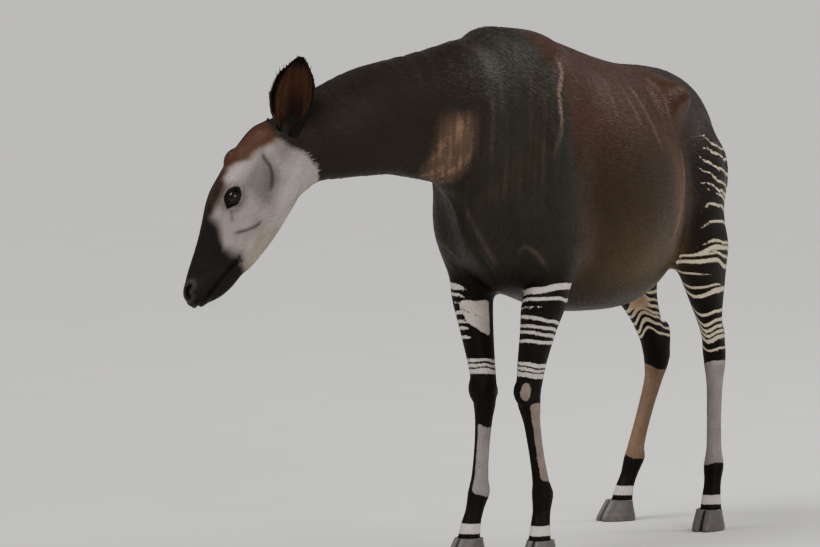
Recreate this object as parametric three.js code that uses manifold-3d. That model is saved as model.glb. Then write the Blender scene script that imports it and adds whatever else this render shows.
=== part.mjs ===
// A standing female okapi, life size, head lowered and turned to its right.
// Millimetres. +Z is up, the animal faces -Y, and its left side is +X.
// The body is described as a smooth field of tubes and ellipsoids, wrapped by rings
// along a centre line, and parted by thin gaps into torso, neck, head, legs and tail.
import * as THREE from "three";
import { mergeVertices } from "three/addons/utils/BufferGeometryUtils.js";
import Module from "manifold-3d";

const wasm = await Module();
wasm.setup();

// Driving dimensions
const GAP = 0.3;
const WITHERS = 1534;
const CROUP = 1404;
const BELLY = 700;
const BODY_HALF_WIDTH = 268;
const FORELEG_CUT = 752;
const HINDLEG_CUT = 716;
const CORONET = 64;
const EYE_RADIUS = 23;
const EAR_LENGTH = 222;
const EAR_THICKNESS = 5;
// The middle of the whole animal's box on the floor, which becomes the origin
const BOX_CENTRE = [-115.64, -343.16, 0];

// Vectors
const add = (a, b) => [a[0] + b[0], a[1] + b[1], a[2] + b[2]];
const sub = (a, b) => [a[0] - b[0], a[1] - b[1], a[2] - b[2]];
const scale = (a, s) => [a[0] * s, a[1] * s, a[2] * s];
const dot = (a, b) => a[0] * b[0] + a[1] * b[1] + a[2] * b[2];
const cross = (a, b) => [
  a[1] * b[2] - a[2] * b[1],
  a[2] * b[0] - a[0] * b[2],
  a[0] * b[1] - a[1] * b[0],
];
const unit = (a) => scale(a, 1 / Math.hypot(...a));
const lerp = (a, b, t) => a + (b - a) * t;
const mix = (a, b, t) => a.map((x, i) => lerp(x, b[i], t));
const mirrored = (p) => [-p[0], p[1], p[2]];
const radians = (degrees) => (degrees * Math.PI) / 180;

// A smooth curve through rows of numbers, with a given number of steps in each span.
function throughRows(rows, steps) {
  const out = [];
  for (let i = 0; i < rows.length - 1; i++) {
    const [a, b] = [rows[i], rows[i + 1]];
    const before = rows[Math.max(i - 1, 0)];
    const after = rows[Math.min(i + 2, rows.length - 1)];
    for (let k = 0; k < steps; k++) {
      const t = k / steps;
      out.push(
        a.map((x, j) => {
          const slopeIn = (b[j] - before[j]) / 2;
          const slopeOut = (after[j] - x) / 2;
          return (
            x * (2 * t ** 3 - 3 * t ** 2 + 1) +
            b[j] * (3 * t ** 2 - 2 * t ** 3) +
            slopeIn * (t ** 3 - 2 * t ** 2 + t) +
            slopeOut * (t ** 3 - t ** 2)
          );
        }),
      );
    }
  }
  out.push(rows.at(-1));
  return out;
}

// Fields: each takes a point and gives its distance from the surface, negative inside

// A tube of egg-shaped sections. A station is [x, y, z, half side, reach up, reach down].
function tube(stations, up, { steps = 4 } = {}) {
  const rows = throughRows(stations, steps);
  const samples = rows.map((row, i) => {
    const from = rows[Math.max(i - 1, 0)];
    const to = rows[Math.min(i + 1, rows.length - 1)];
    const along = unit(sub(to.slice(0, 3), from.slice(0, 3)));
    const side = unit(cross(up, along));
    return { at: row.slice(0, 3), side, top: cross(along, side), size: row.slice(3) };
  });
  return (p) => {
    let nearest = Infinity;
    let found = null;
    for (let i = 0; i < samples.length - 1; i++) {
      const a = samples[i].at;
      const b = samples[i + 1].at;
      const ab = sub(b, a);
      const t = Math.min(1, Math.max(0, dot(sub(p, a), ab) / dot(ab, ab)));
      const away = sub(p, add(a, scale(ab, t)));
      const d = dot(away, away);
      if (d < nearest) {
        nearest = d;
        found = [i, t, away];
      }
    }
    const [i, t, away] = found;
    const one = samples[i];
    const two = samples[i + 1];
    const [half, reachUp, reachDown] = mix(one.size, two.size, t);
    const x = dot(away, unit(mix(one.side, two.side, t)));
    const z = dot(away, unit(mix(one.top, two.top, t)));
    const reach = z > 0 ? reachUp : reachDown;
    const across = Math.hypot(x, z);
    const atEnd = (i === 0 && t === 0) || (i === samples.length - 2 && t === 1);
    const past = atEnd ? Math.sqrt(Math.max(0, nearest - across * across)) : 0;
    if (across < 1e-6) return past > 0 ? past : -Math.min(half, reach);
    const d = across - across / Math.hypot(x / half, z / reach);
    return past > 0.5 ? Math.hypot(Math.max(d, 0), past) : d;
  };
}

// A form of egg-shaped slices, square to one direction. A station is
// [place along, offset to the side, offset to the top, half side, reach up, reach down].
function sliced(stations, origin, [along, side, top], { squareUp = 2, squareDown = 2 } = {}) {
  const rows = throughRows(stations, 6);
  const first = rows[0][0];
  const last = rows.at(-1)[0];
  return (p) => {
    const q = sub(p, origin);
    const s = dot(q, along);
    let low = 0;
    let high = rows.length - 1;
    while (high - low > 1) {
      const middle = (low + high) >> 1;
      if (rows[middle][0] > s) high = middle;
      else low = middle;
    }
    const t = Math.min(1, Math.max(0, (s - rows[low][0]) / (rows[high][0] - rows[low][0])));
    const [, x0, z0, half, reachUp, reachDown] = mix(rows[low], rows[high], t);
    const x = dot(q, side) - x0;
    const z = dot(q, top) - z0;
    const reach = z > 0 ? reachUp : reachDown;
    const power = z > 0 ? squareUp : squareDown;
    const across = Math.max(Math.hypot(x, z), 1e-6);
    const ratio = (Math.abs(x / half) ** power + Math.abs(z / reach) ** power) ** (1 / power);
    const d = across - across / Math.max(ratio, 1e-9);
    const past = Math.max(first - s, s - last, 0);
    return past > 0 ? Math.hypot(Math.max(d, 0), past) : d;
  };
}

// An ellipsoid with its own axes: first along `along`, third towards `up`.
function ball(at, radii, along = [1, 0, 0], up = [0, 0, 1]) {
  const a = unit(along);
  const b = unit(cross(up, a));
  const c = cross(a, b);
  return (p) => {
    const q = sub(p, at);
    const r = [dot(q, a) / radii[0], dot(q, b) / radii[1], dot(q, c) / radii[2]];
    const k0 = Math.hypot(...r);
    const k1 = Math.hypot(r[0] / radii[0], r[1] / radii[1], r[2] / radii[2]);
    return k1 < 1e-9 ? -Math.min(...radii) : (k0 * (k0 - 1)) / k1;
  };
}

// Fields joined one after another, each with a fillet of its own width.
function joined(first, ...rest) {
  return (p) =>
    rest.reduce((d, [field, fillet]) => {
      const e = field(p);
      const h = Math.max(fillet - Math.abs(d - e), 0) / fillet;
      return Math.min(d, e) - (h * h * fillet) / 4;
    }, first(p));
}

// Where the head is, and its own frame: [left, towards the muzzle, towards the crown]
const HEAD_AT = [-279, -1272, 1195];
const HEAD_YAW = radians(52.4);
const HEAD_PITCH = radians(59.8);
const HEAD_ROLL = radians(7);

const headForward = [
  -Math.sin(HEAD_YAW) * Math.cos(HEAD_PITCH),
  -Math.cos(HEAD_YAW) * Math.cos(HEAD_PITCH),
  -Math.sin(HEAD_PITCH),
];
const headLevel = [Math.cos(HEAD_YAW), -Math.sin(HEAD_YAW), 0];
const headTilt = cross(headForward, headLevel);
const headLeft = add(
  scale(headLevel, Math.cos(HEAD_ROLL)),
  scale(headTilt, Math.sin(HEAD_ROLL)),
);
const headUp = cross(headForward, headLeft);
const onHead = ([left, forward, up]) =>
  add(HEAD_AT, add(scale(headLeft, left), add(scale(headForward, forward), scale(headUp, up))));
const headTurn = ([left, forward, up]) => sub(onHead([left, forward, up]), HEAD_AT);

// The trunk: place along, level of the widest, half width, top and bottom
const station = (y, widest, half, top, bottom) => [-y, 0, widest, half, top - widest, widest - bottom];
const trunk = sliced(
  [
    station(730, 1062, 34, 1215, 985),
    station(690, 1060, 82, 1290, 935),
    station(600, 1057, 138, 1362, 895),
    station(480, 1052, 168, CROUP, 838),
    station(330, 1040, 186, 1423, 758),
    station(150, 1025, 240, 1434, BELLY),
    station(-40, 1030, BODY_HALF_WIDTH, 1463, BELLY - 5),
    station(-200, 1055, 256, 1497, 708),
    station(-350, 1080, 220, 1528, 742),
    station(-500, 1105, 188, WITHERS, 784),
    station(-602, 1110, 134, 1526, 850),
    station(-674, 1103, 78, 1478, 915),
    station(-714, 1098, 36, 1350, 985),
  ],
  [0, 0, 0],
  [[0, -1, 0], [1, 0, 0], [0, 0, 1]],
  { squareUp: 1.9, squareDown: 2.1 },
);

// Muscles and bones that swell the trunk, given for the left side
const trunkSwellings = [
  // shoulder blade
  { at: [128, -480, 1190], radii: [62, 125, 285], along: [1, 0, 0], up: [0, 0.32, 1], fillet: 90 },
  // point of the shoulder
  { at: [100, -530, 1015], radii: [60, 70, 115], along: [1, 0, 0], up: [0, 0.3, 1], fillet: 60 },
  // upper arm and triceps
  { at: [142, -450, 950], radii: [66, 105, 130], along: [1, 0, 0], up: [0, -0.5, 1], fillet: 80 },
  // haunch
  { at: [121, 440, 1035], radii: [82, 150, 222], along: [1, 0, 0], up: [0, 0.05, 1], fillet: 70 },
  // hip bone
  { at: [138, 270, 1325], radii: [55, 80, 48], along: [1, 0, 0], up: [0, 0, 1], fillet: 90 },
  // seat bone
  { at: [78, 635, 1075], radii: [55, 55, 105], along: [1, 0, 0], up: [0, 0.3, 1], fillet: 70 },
];
const bothSides = (list) =>
  list.flatMap(({ at, radii, along, up, fillet }) => [
    [ball(at, radii, along, up), fillet],
    [ball(mirrored(at), radii, mirrored(along), mirrored(up)), fillet],
  ]);

// The neck, from inside the shoulders to inside the skull
const neck = tube(
  [
    [0, -380, 1255, 125, 215, 260],
    [0, -560, 1262, 134, 237, 225],
    [-18, -740, 1280, 124, 238, 190],
    [-81, -933, 1303, 106, 165, 178],
    [-134, -1060, 1283, 96, 152, 158],
    [-190, -1160, 1252, 86, 130, 135],
    [-250, -1235, 1215, 74, 105, 105],
  ],
  [0, 0, 1],
);

// The head, in its own frame: [forward, crown, chin, half width, level of the widest]
const headRow = (forward, crown, chin, half, widest) => [
  forward,
  0,
  widest,
  half,
  crown - widest,
  widest - chin,
];
const skull = sliced(
  [
    headRow(-75, 70, -60, 45, 5),
    headRow(-35, 96, -108, 68, 0),
    headRow(20, 106, -119, 76, 5),
    headRow(75, 110, -117, 80, 18),
    headRow(130, 110, -117, 84, 30),
    headRow(175, 109, -116, 82, 30),
    headRow(215, 101, -113, 71, 22),
    headRow(260, 86, -107, 58, 10),
    headRow(305, 72, -98, 51, 0),
    headRow(350, 61, -80, 46, -4),
    headRow(400, 50, -62, 43, -4),
    headRow(440, 38, -48, 42, -5),
    headRow(464, 25, -36, 35, -5),
    headRow(479, 6, -18, 16, -6),
  ],
  HEAD_AT,
  [headForward, headLeft, headUp],
  { squareUp: 2.3, squareDown: 1.75 },
);
const headBall = (at, radii, along, up, fillet) => [
  ball(onHead(at), radii, headTurn(along), headTurn(up)),
  fillet,
];
const headSwellings = [1, -1].flatMap((s) => [
  // brow over the eye
  headBall([s * 62, 150, 68], [26, 48, 24], [1, 0, 0], [0, 0, 1], 30),
  // cheek muscle
  headBall([s * 48, 70, -45], [30, 75, 62], [1, 0, 0], [0, 0, 1], 40),
  // knob of the forehead
  headBall([s * 34, 68, 100], [20, 24, 18], [1, 0, 0], [0, 0, 1], 26),
  // root of the ear
  headBall([s * 62, -48, 5], [30, 34, 32], [1, 0, 0], [0, 0, 1], 40),
  // wing of the nostril
  headBall([s * 24, 440, 14], [20, 30, 18], [1, 0, 0], [0, 0, 1], 18),
  // upper lip
  headBall([s * 26, 405, -22], [20, 60, 22], [1, 0, 0], [0, -0.25, 1], 22),
]);
const chin = headBall([0, 385, -56], [26, 50, 20], [1, 0, 0], [0, -0.3, 1], 22);

const body = joined(
  trunk,
  ...bothSides(trunkSwellings),
  [neck, 120],
  [joined(skull, ...headSwellings, chin), 60],
);

// Legs: [x, y, z, half width, reach to the front, reach to the back], from inside the trunk down
const legs = {
  foreleg_left: {
    turn: radians(0),
    cut: FORELEG_CUT,
    hoofAt: [108, -462],
    rows: [
      [142, -450, 930, 66, 92, 100],
      [136, -458, 830, 60, 74, 92],
      [127, -474, 750, 62, 86, 80],
      [112, -484, 670, 52, 64, 62],
      [97, -494, 580, 43, 48, 50],
      [90, -496, 525, 40, 40, 42],
      [86, -497, 492, 39, 40, 40],
      [86, -490, 450, 34, 34, 36],
      [88, -478, 400, 26, 27, 30],
      [92, -462, 320, 23, 24, 28],
      [97, -446, 240, 25, 26, 32],
      [100, -439, 195, 32, 32, 40],
      [103, -449, 145, 28, 27, 33],
      [106, -461, 100, 31, 31, 32],
      [108, -468, 40, 37, 40, 36],
    ],
  },
  foreleg_right: {
    turn: radians(-14),
    cut: FORELEG_CUT,
    hoofAt: [-98, -520],
    rows: [
      [-142, -440, 930, 66, 92, 100],
      [-138, -440, 830, 60, 74, 92],
      [-132, -444, 750, 55, 66, 72],
      [-116, -450, 670, 46, 56, 60],
      [-97, -456, 580, 40, 45, 48],
      [-86, -460, 525, 39, 40, 42],
      [-82, -461, 490, 39, 40, 40],
      [-81, -461, 445, 33, 34, 36],
      [-82, -465, 395, 26, 27, 30],
      [-84, -473, 315, 23, 24, 28],
      [-86, -481, 238, 25, 26, 32],
      [-87, -486, 193, 32, 32, 40],
      [-91, -501, 145, 28, 27, 33],
      [-95, -515, 100, 31, 31, 32],
      [-98, -524, 40, 37, 40, 36],
    ],
  },
  hindleg_left: {
    turn: radians(6),
    cut: HINDLEG_CUT,
    hoofAt: [166, 478],
    rows: [
      [132, 425, 1050, 40, 70, 100],
      [141, 425, 960, 68, 115, 145],
      [147, 434, 880, 80, 132, 165],
      [152, 452, 790, 66, 112, 125],
      [153, 476, 710, 52, 76, 84],
      [152, 503, 640, 40, 50, 58],
      [151, 523, 590, 34, 42, 58],
      [150, 536, 545, 36, 42, 54],
      [151, 540, 500, 34, 38, 42],
      [152, 538, 440, 27, 29, 33],
      [153, 533, 340, 24, 24, 29],
      [156, 527, 245, 25, 26, 32],
      [158, 522, 195, 32, 31, 40],
      [161, 510, 145, 28, 27, 33],
      [164, 497, 100, 31, 31, 32],
      [166, 489, 40, 37, 40, 36],
    ],
  },
  hindleg_right: {
    turn: radians(-26),
    cut: HINDLEG_CUT,
    hoofAt: [-190, 560],
    rows: [
      [-132, 425, 1050, 40, 70, 100],
      [-141, 435, 960, 68, 115, 145],
      [-149, 468, 880, 80, 134, 165],
      [-156, 530, 790, 66, 112, 125],
      [-150, 575, 710, 54, 78, 84],
      [-142, 626, 635, 42, 54, 60],
      [-138, 668, 565, 35, 43, 58],
      [-137, 694, 515, 37, 43, 54],
      [-139, 700, 472, 34, 39, 42],
      [-144, 688, 425, 27, 30, 34],
      [-156, 652, 325, 24, 25, 30],
      [-168, 626, 235, 25, 27, 32],
      [-172, 616, 190, 32, 31, 40],
      [-179, 600, 143, 28, 27, 33],
      [-186, 583, 98, 31, 31, 32],
      [-190, 573, 40, 37, 40, 36],
    ],
  },
};
const legFront = ({ turn }) => [Math.sin(turn), -Math.cos(turn), 0];
for (const leg of Object.values(legs)) {
  leg.front = legFront(leg);
  leg.left = [Math.cos(leg.turn), Math.sin(leg.turn), 0];
  const slices = leg.rows.map(([x, y, z, ...sizes]) => [
    -z,
    dot([x, y, 0], leg.left),
    dot([x, y, 0], leg.front),
    ...sizes,
  ]);
  leg.field = sliced(slices, [0, 0, 0], [[0, 0, -1], leg.left, leg.front]);
}

// Small bones and tendons of a leg: distance along the leg's own left and front from its centre line.
function legBall(leg, row, left, front, lift, radii, fillet, up = [0, 0, 1]) {
  const [x, y, z] = leg.rows[row];
  const at = add([x, y, z + lift], add(scale(leg.left, left), scale(leg.front, front)));
  return [ball(at, radii, leg.left, up), fillet];
}
for (const [name, leg] of Object.entries(legs)) {
  const extras = name.startsWith("hind")
    ? [legBall(leg, 6, 0, -50, 12, [19, 22, 42], 26)]
    : [
        legBall(leg, 6, 0, 30, 4, [30, 18, 36], 18),
        legBall(leg, 6, 0, -34, -6, [17, 20, 26], 16),
      ];
  leg.field = joined(leg.field, ...extras);
}

// Wrapping a field with rings

// Frames from rows of [centre, direction of travel], with `steps` rings in each span.
function frames(rows, steps, up) {
  return throughRows(rows, steps).map((row) => {
    const along = unit(row.slice(3));
    const side = unit(cross(up, along));
    return { at: row.slice(0, 3), side, top: cross(along, side) };
  });
}

// How far the surface is from a point inside it.
function reachOf(field, at, direction, level) {
  let inside = 0;
  let outside = 0;
  for (let k = 0; k < 200; k++) {
    const d = field(add(at, scale(direction, outside))) - level;
    if (d > 0) break;
    inside = outside;
    outside += Math.max(-d * 0.7, 1);
  }
  for (let k = 0; k < 14; k++) {
    const middle = (inside + outside) / 2;
    if (field(add(at, scale(direction, middle))) > level) outside = middle;
    else inside = middle;
  }
  return inside;
}

// A closed solid from rings of points that all have the same count.
function solidFromRings(rings, firstTip, lastTip) {
  const sides = rings[0].length;
  const middle = (ring) => scale(ring.reduce(add), 1 / sides);
  const points = [firstTip ?? middle(rings[0]), ...rings.flat(), lastTip ?? middle(rings.at(-1))];
  const index = (i, j) => 1 + i * sides + (j % sides);
  const faces = [];
  for (let j = 0; j < sides; j++) {
    faces.push([0, index(0, j), index(0, j + 1)]);
    faces.push([points.length - 1, index(rings.length - 1, j + 1), index(rings.length - 1, j)]);
    for (let i = 0; i < rings.length - 1; i++) {
      const [a, b, c, d] = [index(i, j), index(i, j + 1), index(i + 1, j), index(i + 1, j + 1)];
      const flip = (i + j) % 2;
      faces.push(...(flip ? [[a, c, b], [b, c, d]] : [[a, c, d], [a, d, b]]));
    }
  }
  return solidOf(points, faces);
}

function solidOf(points, faces) {
  const made = new wasm.Manifold(
    new wasm.Mesh({
      numProp: 3,
      vertProperties: new Float32Array(points.flat()),
      triVerts: new Uint32Array(faces.flat()),
    }),
  );
  return made.volume() < 0 ? solidOf(points, faces.map(([a, b, c]) => [a, c, b])) : made;
}

function wrapped(field, rings, sides, { level = 0, firstTip = false, lastTip = false } = {}) {
  const tip = (wanted, { at, side, top }, way) => {
    if (!wanted) return undefined;
    const along = scale(cross(side, top), way);
    return add(at, scale(along, reachOf(field, at, along, level)));
  };
  const loops = rings.map(({ at, side, top }) =>
    Array.from({ length: sides }, (_, j) => {
      const angle = (2 * Math.PI * j) / sides;
      const out = add(scale(side, Math.cos(angle)), scale(top, Math.sin(angle)));
      return add(at, scale(out, reachOf(field, at, out, level)));
    }),
  );
  return solidFromRings(loops, tip(firstTip, rings[0], -1), tip(lastTip, rings.at(-1), 1));
}

// A three.js geometry as a solid.
function fromGeometry(geometry) {
  geometry.deleteAttribute("normal");
  geometry.deleteAttribute("uv");
  const merged = mergeVertices(geometry, 1e-3);
  const made = new wasm.Manifold(
    new wasm.Mesh({
      numProp: 3,
      vertProperties: new Float32Array(merged.attributes.position.array),
      triVerts: new Uint32Array(merged.index.array),
    }),
  );
  return made;
}
const largest = (solid) =>
  solid.decompose().reduce((a, b) => (b.volume() > a.volume() ? b : a));

// Everything on one side of a plane: a big box whose face lies on it.
function halfSpace(at, normal, size = 3000) {
  const turn = new THREE.Quaternion().setFromUnitVectors(
    new THREE.Vector3(0, 0, 1),
    new THREE.Vector3(...unit(normal)),
  );
  const box = new THREE.BoxGeometry(size, size, size)
    .translate(0, 0, size / 2)
    .applyQuaternion(turn)
    .translate(...at);
  return fromGeometry(box);
}

// Where the torso, neck and head part
const NECK_BASE = { at: [0, -690, 1252], along: [0, -0.94, 0.34] };
const NAPE = { at: onHead([0, -72, -42]), along: headTurn([0, 0.8, 0.6]) };
const row = ({ at, along }, shift = 0) => [...add(at, scale(unit(along), shift)), ...unit(along)];

const torsoFrames = frames(
  [
    [0, 735, 1150, 0, -1, 0],
    [0, 690, 1135, 0, -1, 0],
    [0, 560, 1110, 0, -1, 0],
    [0, 380, 1080, 0, -1, 0],
    [0, 180, 1065, 0, -1, 0],
    [0, -20, 1070, 0, -1, 0],
    [0, -200, 1085, 0, -1, 0],
    [0, -360, 1110, 0, -1, 0],
    [0, -520, 1175, 0, -0.985, 0.17],
    row(NECK_BASE, -GAP / 2),
  ],
  5,
  [0, 0, 1],
);
const neckFrames = frames(
  [
    row(NECK_BASE, GAP / 2),
    [-30, -815, 1290, -0.16, -0.98, 0.12],
    [-81, -933, 1303, -0.3, -0.95, -0.03],
    [-134, -1060, 1283, -0.4, -0.88, -0.2],
    row(NAPE, -GAP / 2),
  ],
  3,
  [0, 0, 1],
);
const headFrames = frames(
  [
    row(NAPE, GAP / 2),
    [...onHead([0, -30, -25]), ...headTurn([0, 0.9, 0.43])],
    [...onHead([0, 15, -10]), ...headTurn([0, 0.98, 0.2])],
    [...onHead([0, 70, 0]), ...headTurn([0, 1, 0])],
    [...onHead([0, 130, 0]), ...headTurn([0, 1, 0])],
    [...onHead([0, 190, 0]), ...headTurn([0, 1, 0])],
    [...onHead([0, 255, -6]), ...headTurn([0, 1, 0])],
    [...onHead([0, 320, -8]), ...headTurn([0, 1, 0])],
    [...onHead([0, 385, -6]), ...headTurn([0, 1, 0])],
    [...onHead([0, 435, -6]), ...headTurn([0, 1, 0])],
    [...onHead([0, 468, -6]), ...headTurn([0, 1, 0])],
    [...onHead([0, 478, -6]), ...headTurn([0, 1, 0])],
  ],
  4,
  headUp,
);

// Legs and their tops, which stay with the torso
const legFrames = (leg, from, to) => {
  const rows = leg.rows.slice(from, to).map((r, i, all) => {
    const before = all[Math.max(i - 1, 0)];
    const after = all[Math.min(i + 1, all.length - 1)];
    return [...r.slice(0, 3), ...unit(sub(after.slice(0, 3), before.slice(0, 3)))];
  });
  return frames(rows, 2, leg.front);
};
const LEG_SIDES = 14;
const HEAD_SIDES = 36;
const wholeLegs = Object.fromEntries(
  Object.entries(legs).map(([name, leg]) => [
    name,
    wrapped(leg.field, legFrames(leg, 0, leg.rows.length), LEG_SIDES),
  ]),
);

function legNode(name) {
  const { cut } = legs[name];
  return largest(
    wholeLegs[name]
      .subtract(halfSpace([0, 0, cut - GAP], [0, 0, 1]))
      .subtract(halfSpace([0, 0, CORONET + GAP], [0, 0, -1])),
  );
}

function torsoNode() {
  let made = wrapped(body, torsoFrames, 36, { firstTip: true });
  for (const [name, leg] of Object.entries(legs)) {
    made = made.add(wholeLegs[name].subtract(halfSpace([0, 0, leg.cut], [0, 0, -1])));
  }
  return largest(made);
}

// A hoof is two claws with a cleft between them
const HOOF_ROWS = [
  // height, half width of the foot, toe, heel
  [0, 46, 76, 44],
  [12, 46, 75, 44],
  [38, 42, 60, 40],
  [CORONET, 37, 42, 36],
];
function claw(leg, s) {
  const [cx, cy] = leg.hoofAt;
  const rings = HOOF_ROWS.map(([z, half, toe, heel]) => {
    const outline = [
      [1.6, toe * 0.8],
      [half * 0.34, toe],
      [half * 0.74, toe * 0.72],
      [half, toe * 0.2],
      [half * 0.98, -heel * 0.4],
      [half * 0.72, -heel * 0.86],
      [half * 0.3, -heel],
      [1.6, -heel * 0.8],
      [1.6, 0],
    ];
    return outline.map(([x, y]) =>
      add([cx, cy, z], add(scale(leg.left, s * x), scale(leg.front, y))),
    );
  });
  return solidFromRings(rings);
}

// Eyes
const EYE_AT = [69, 158, 41];
const sphere = (at, radius, detail = 3) =>
  fromGeometry(new THREE.IcosahedronGeometry(radius, detail).translate(...at));

function lidOpening(s) {
  // an almond, cut through the lids from the side
  const LENGTH = 18.5;
  const HEIGHT = 12.5;
  const [x, y, z] = EYE_AT;
  const around = Array.from({ length: 20 }, (_, k) => {
    const angle = (2 * Math.PI * k) / 20;
    const pinch = 1 - 0.25 * Math.abs(Math.cos(angle)) ** 3;
    return [LENGTH * Math.cos(angle), HEIGHT * Math.sin(angle) * pinch];
  });
  const rings = [0, 60].map((out) =>
    around.map(([f, u]) => onHead([s * (x + out), y + f, z + u])),
  );
  return solidFromRings(rings);
}

// A tube of even thickness along points, for a groove
function groove(points, radius) {
  const path = new THREE.CatmullRomCurve3(points.map((p) => new THREE.Vector3(...p)));
  const section = new THREE.Shape().absarc(0, 0, radius, 0, 2 * Math.PI);
  return fromGeometry(
    new THREE.ExtrudeGeometry(section, {
      steps: 26,
      curveSegments: 4,
      extrudePath: path,
      bevelEnabled: false,
    }),
  );
}

function headNode() {
  let made = wrapped(body, headFrames, HEAD_SIDES, { lastTip: true });
  const onSurface = ([left, forward, up], side) => {
    const at = onHead([0, forward, up]);
    const out = unit(headTurn([side, left, 0]));
    return add(at, scale(out, reachOf(body, at, out, 0)));
  };
  for (const s of [1, -1]) {
    const eye = onHead([s * EYE_AT[0], EYE_AT[1], EYE_AT[2]]);
    made = made.add(sphere(eye, EYE_RADIUS + 4));
    made = made.subtract(sphere(eye, EYE_RADIUS + GAP));
    made = made.subtract(lidOpening(s));
    const lips = [
      [0, 300, -58],
      [0, 330, -50],
      [0, 370, -42],
      [0, 410, -36],
      [0, 445, -30],
    ].map((p) => onSurface(p, s));
    made = made.subtract(groove([...lips, onHead([0, 478, -24])], 3.2));
    const nostril = new THREE.SphereGeometry(1, 12, 8).scale(7, 15, 5);
    const turn = new THREE.Matrix4().makeBasis(
      new THREE.Vector3(...headTurn([s * 0.86, 0.5, 0])),
      new THREE.Vector3(...headTurn([-s * 0.5, 0.86, -0.1])),
      new THREE.Vector3(...headUp),
    );
    nostril.applyMatrix4(turn).translate(...onSurface([0.3, 446, 14], s));
    if (s < 0) nostril.index.array.reverse();
    made = made.subtract(fromGeometry(nostril));
  }
  return largest(made);
}

// An ear: a cupped leaf rolled into a tube at its root
// Each row: share of the length, radius of the roll, half angle in degrees, how far the back bows out
const EAR_ROWS = [
  [0, 25, 165, 0],
  [0.1, 29, 150, 2],
  [0.22, 38, 122, 6],
  [0.36, 49, 100, 10],
  [0.5, 55, 88, 12],
  [0.64, 53, 82, 12],
  [0.78, 43, 78, 9],
  [0.89, 29, 74, 4],
  [0.96, 15, 70, 0],
  [1, 5, 66, -3],
];
const EAR_ROOT = [60, -62, -8];
const EAR_TIP = [88, -262, 74];

function earNode(s) {
  const root = onHead([s * EAR_ROOT[0], EAR_ROOT[1], EAR_ROOT[2]]);
  const tip = onHead([s * EAR_TIP[0], EAR_TIP[1], EAR_TIP[2]]);
  const along = unit(sub(tip, root));
  const opening = headTurn([s * 0.93, 0.3, 0.2]);
  const across = unit(cross(along, opening));
  const open = cross(across, along);
  const length = EAR_LENGTH;
  const ACROSS = 14;
  const rings = throughRows(EAR_ROWS, 2).map(([share, radius, degrees, bow]) => {
    const half = radians(degrees);
    const at = add(root, add(scale(along, share * length), scale(open, radius - 25 - bow)));
    const arc = (r, from, to) =>
      Array.from({ length: ACROSS + 1 }, (_, k) => {
        const angle = lerp(from, to, k / ACROSS);
        return add(
          at,
          add(scale(open, -r * Math.cos(angle)), scale(across, r * Math.sin(angle))),
        );
      });
    const thin = Math.min(EAR_THICKNESS, radius * 0.5) / 2;
    return [...arc(radius + thin, -half, half), ...arc(radius - thin, half, -half)];
  });
  return largest(solidFromRings(rings).subtract(earSeat));
}
const earSeat = wrapped(body, [...neckFrames, ...headFrames], HEAD_SIDES, { level: 4 * GAP });

// Tail with its tuft
const TAIL_ROWS = [
  // y, z, half width, depth
  [650, 1262, 32, 32],
  [712, 1232, 26, 26],
  [748, 1165, 18, 18],
  [757, 1060, 13, 13],
  [755, 1000, 15, 15],
  [753, 940, 21, 19],
  [750, 885, 17, 15],
  [748, 845, 6, 6],
];
const tailRows = TAIL_ROWS.map(([y, z, half, depth]) => [0, y, z, half, depth, depth]);
const tailField = tube(tailRows, [0, 1, 0]);

function tailNode() {
  const rows = tailRows.map((r, i, all) => {
    const before = all[Math.max(i - 1, 0)];
    const after = all[Math.min(i + 1, all.length - 1)];
    return [...r.slice(0, 3), ...unit(sub(after.slice(0, 3), before.slice(0, 3)))];
  });
  const made = wrapped(tailField, frames(rows, 3, [0, 1, 0]), 10);
  return largest(made.subtract(wrapped(body, torsoFrames, 36, { level: GAP, firstTip: true })));
}

// Assembly
const FUR = { roughness: 0.7, metalness: 0 };
const materials = {
  coat: new THREE.MeshStandardMaterial({ color: 0x33211b, ...FUR }),
  stripes: new THREE.MeshStandardMaterial({ color: 0xb8aca0, ...FUR }),
  face: new THREE.MeshStandardMaterial({ color: 0x9c8f8a, ...FUR }),
  ear: new THREE.MeshStandardMaterial({ color: 0x3a231b, ...FUR }),
  horn: new THREE.MeshStandardMaterial({ color: 0x5a5450, roughness: 0.5, metalness: 0 }),
  eye: new THREE.MeshStandardMaterial({ color: 0x120c0a, roughness: 0.05, metalness: 0 }),
};

const okapi = new THREE.Group();
function place(name, solid, material) {
  const { vertProperties, triVerts } = solid.getMesh();
  const geometry = new THREE.BufferGeometry()
    .setAttribute("position", new THREE.BufferAttribute(new Float32Array(vertProperties), 3))
    .setIndex(new THREE.BufferAttribute(new Uint32Array(triVerts), 1));
  geometry.translate(...scale(BOX_CENTRE, -1));
  geometry.computeVertexNormals();
  const mesh = new THREE.Mesh(geometry, material);
  mesh.name = name;
  okapi.add(mesh);
}

place("torso", torsoNode(), materials.coat);
place("neck", wrapped(body, neckFrames, HEAD_SIDES), materials.coat);
place("head", headNode(), materials.face);
place("tail", tailNode(), materials.coat);
for (const [name, leg] of Object.entries(legs)) {
  place(name, legNode(name), materials.stripes);
  const hoof = name.replace("leg", "_hoof");
  place(hoof + "_outer_claw", claw(leg, name.endsWith("left") ? 1 : -1), materials.horn);
  place(hoof + "_inner_claw", claw(leg, name.endsWith("left") ? -1 : 1), materials.horn);
}
for (const [side, s] of [["left", 1], ["right", -1]]) {
  place("ear_" + side, earNode(s), materials.ear);
  const eye = onHead([s * EYE_AT[0], EYE_AT[1], EYE_AT[2]]);
  place("eye_" + side, sphere(eye, EYE_RADIUS), materials.eye);
}

export default okapi;
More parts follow.
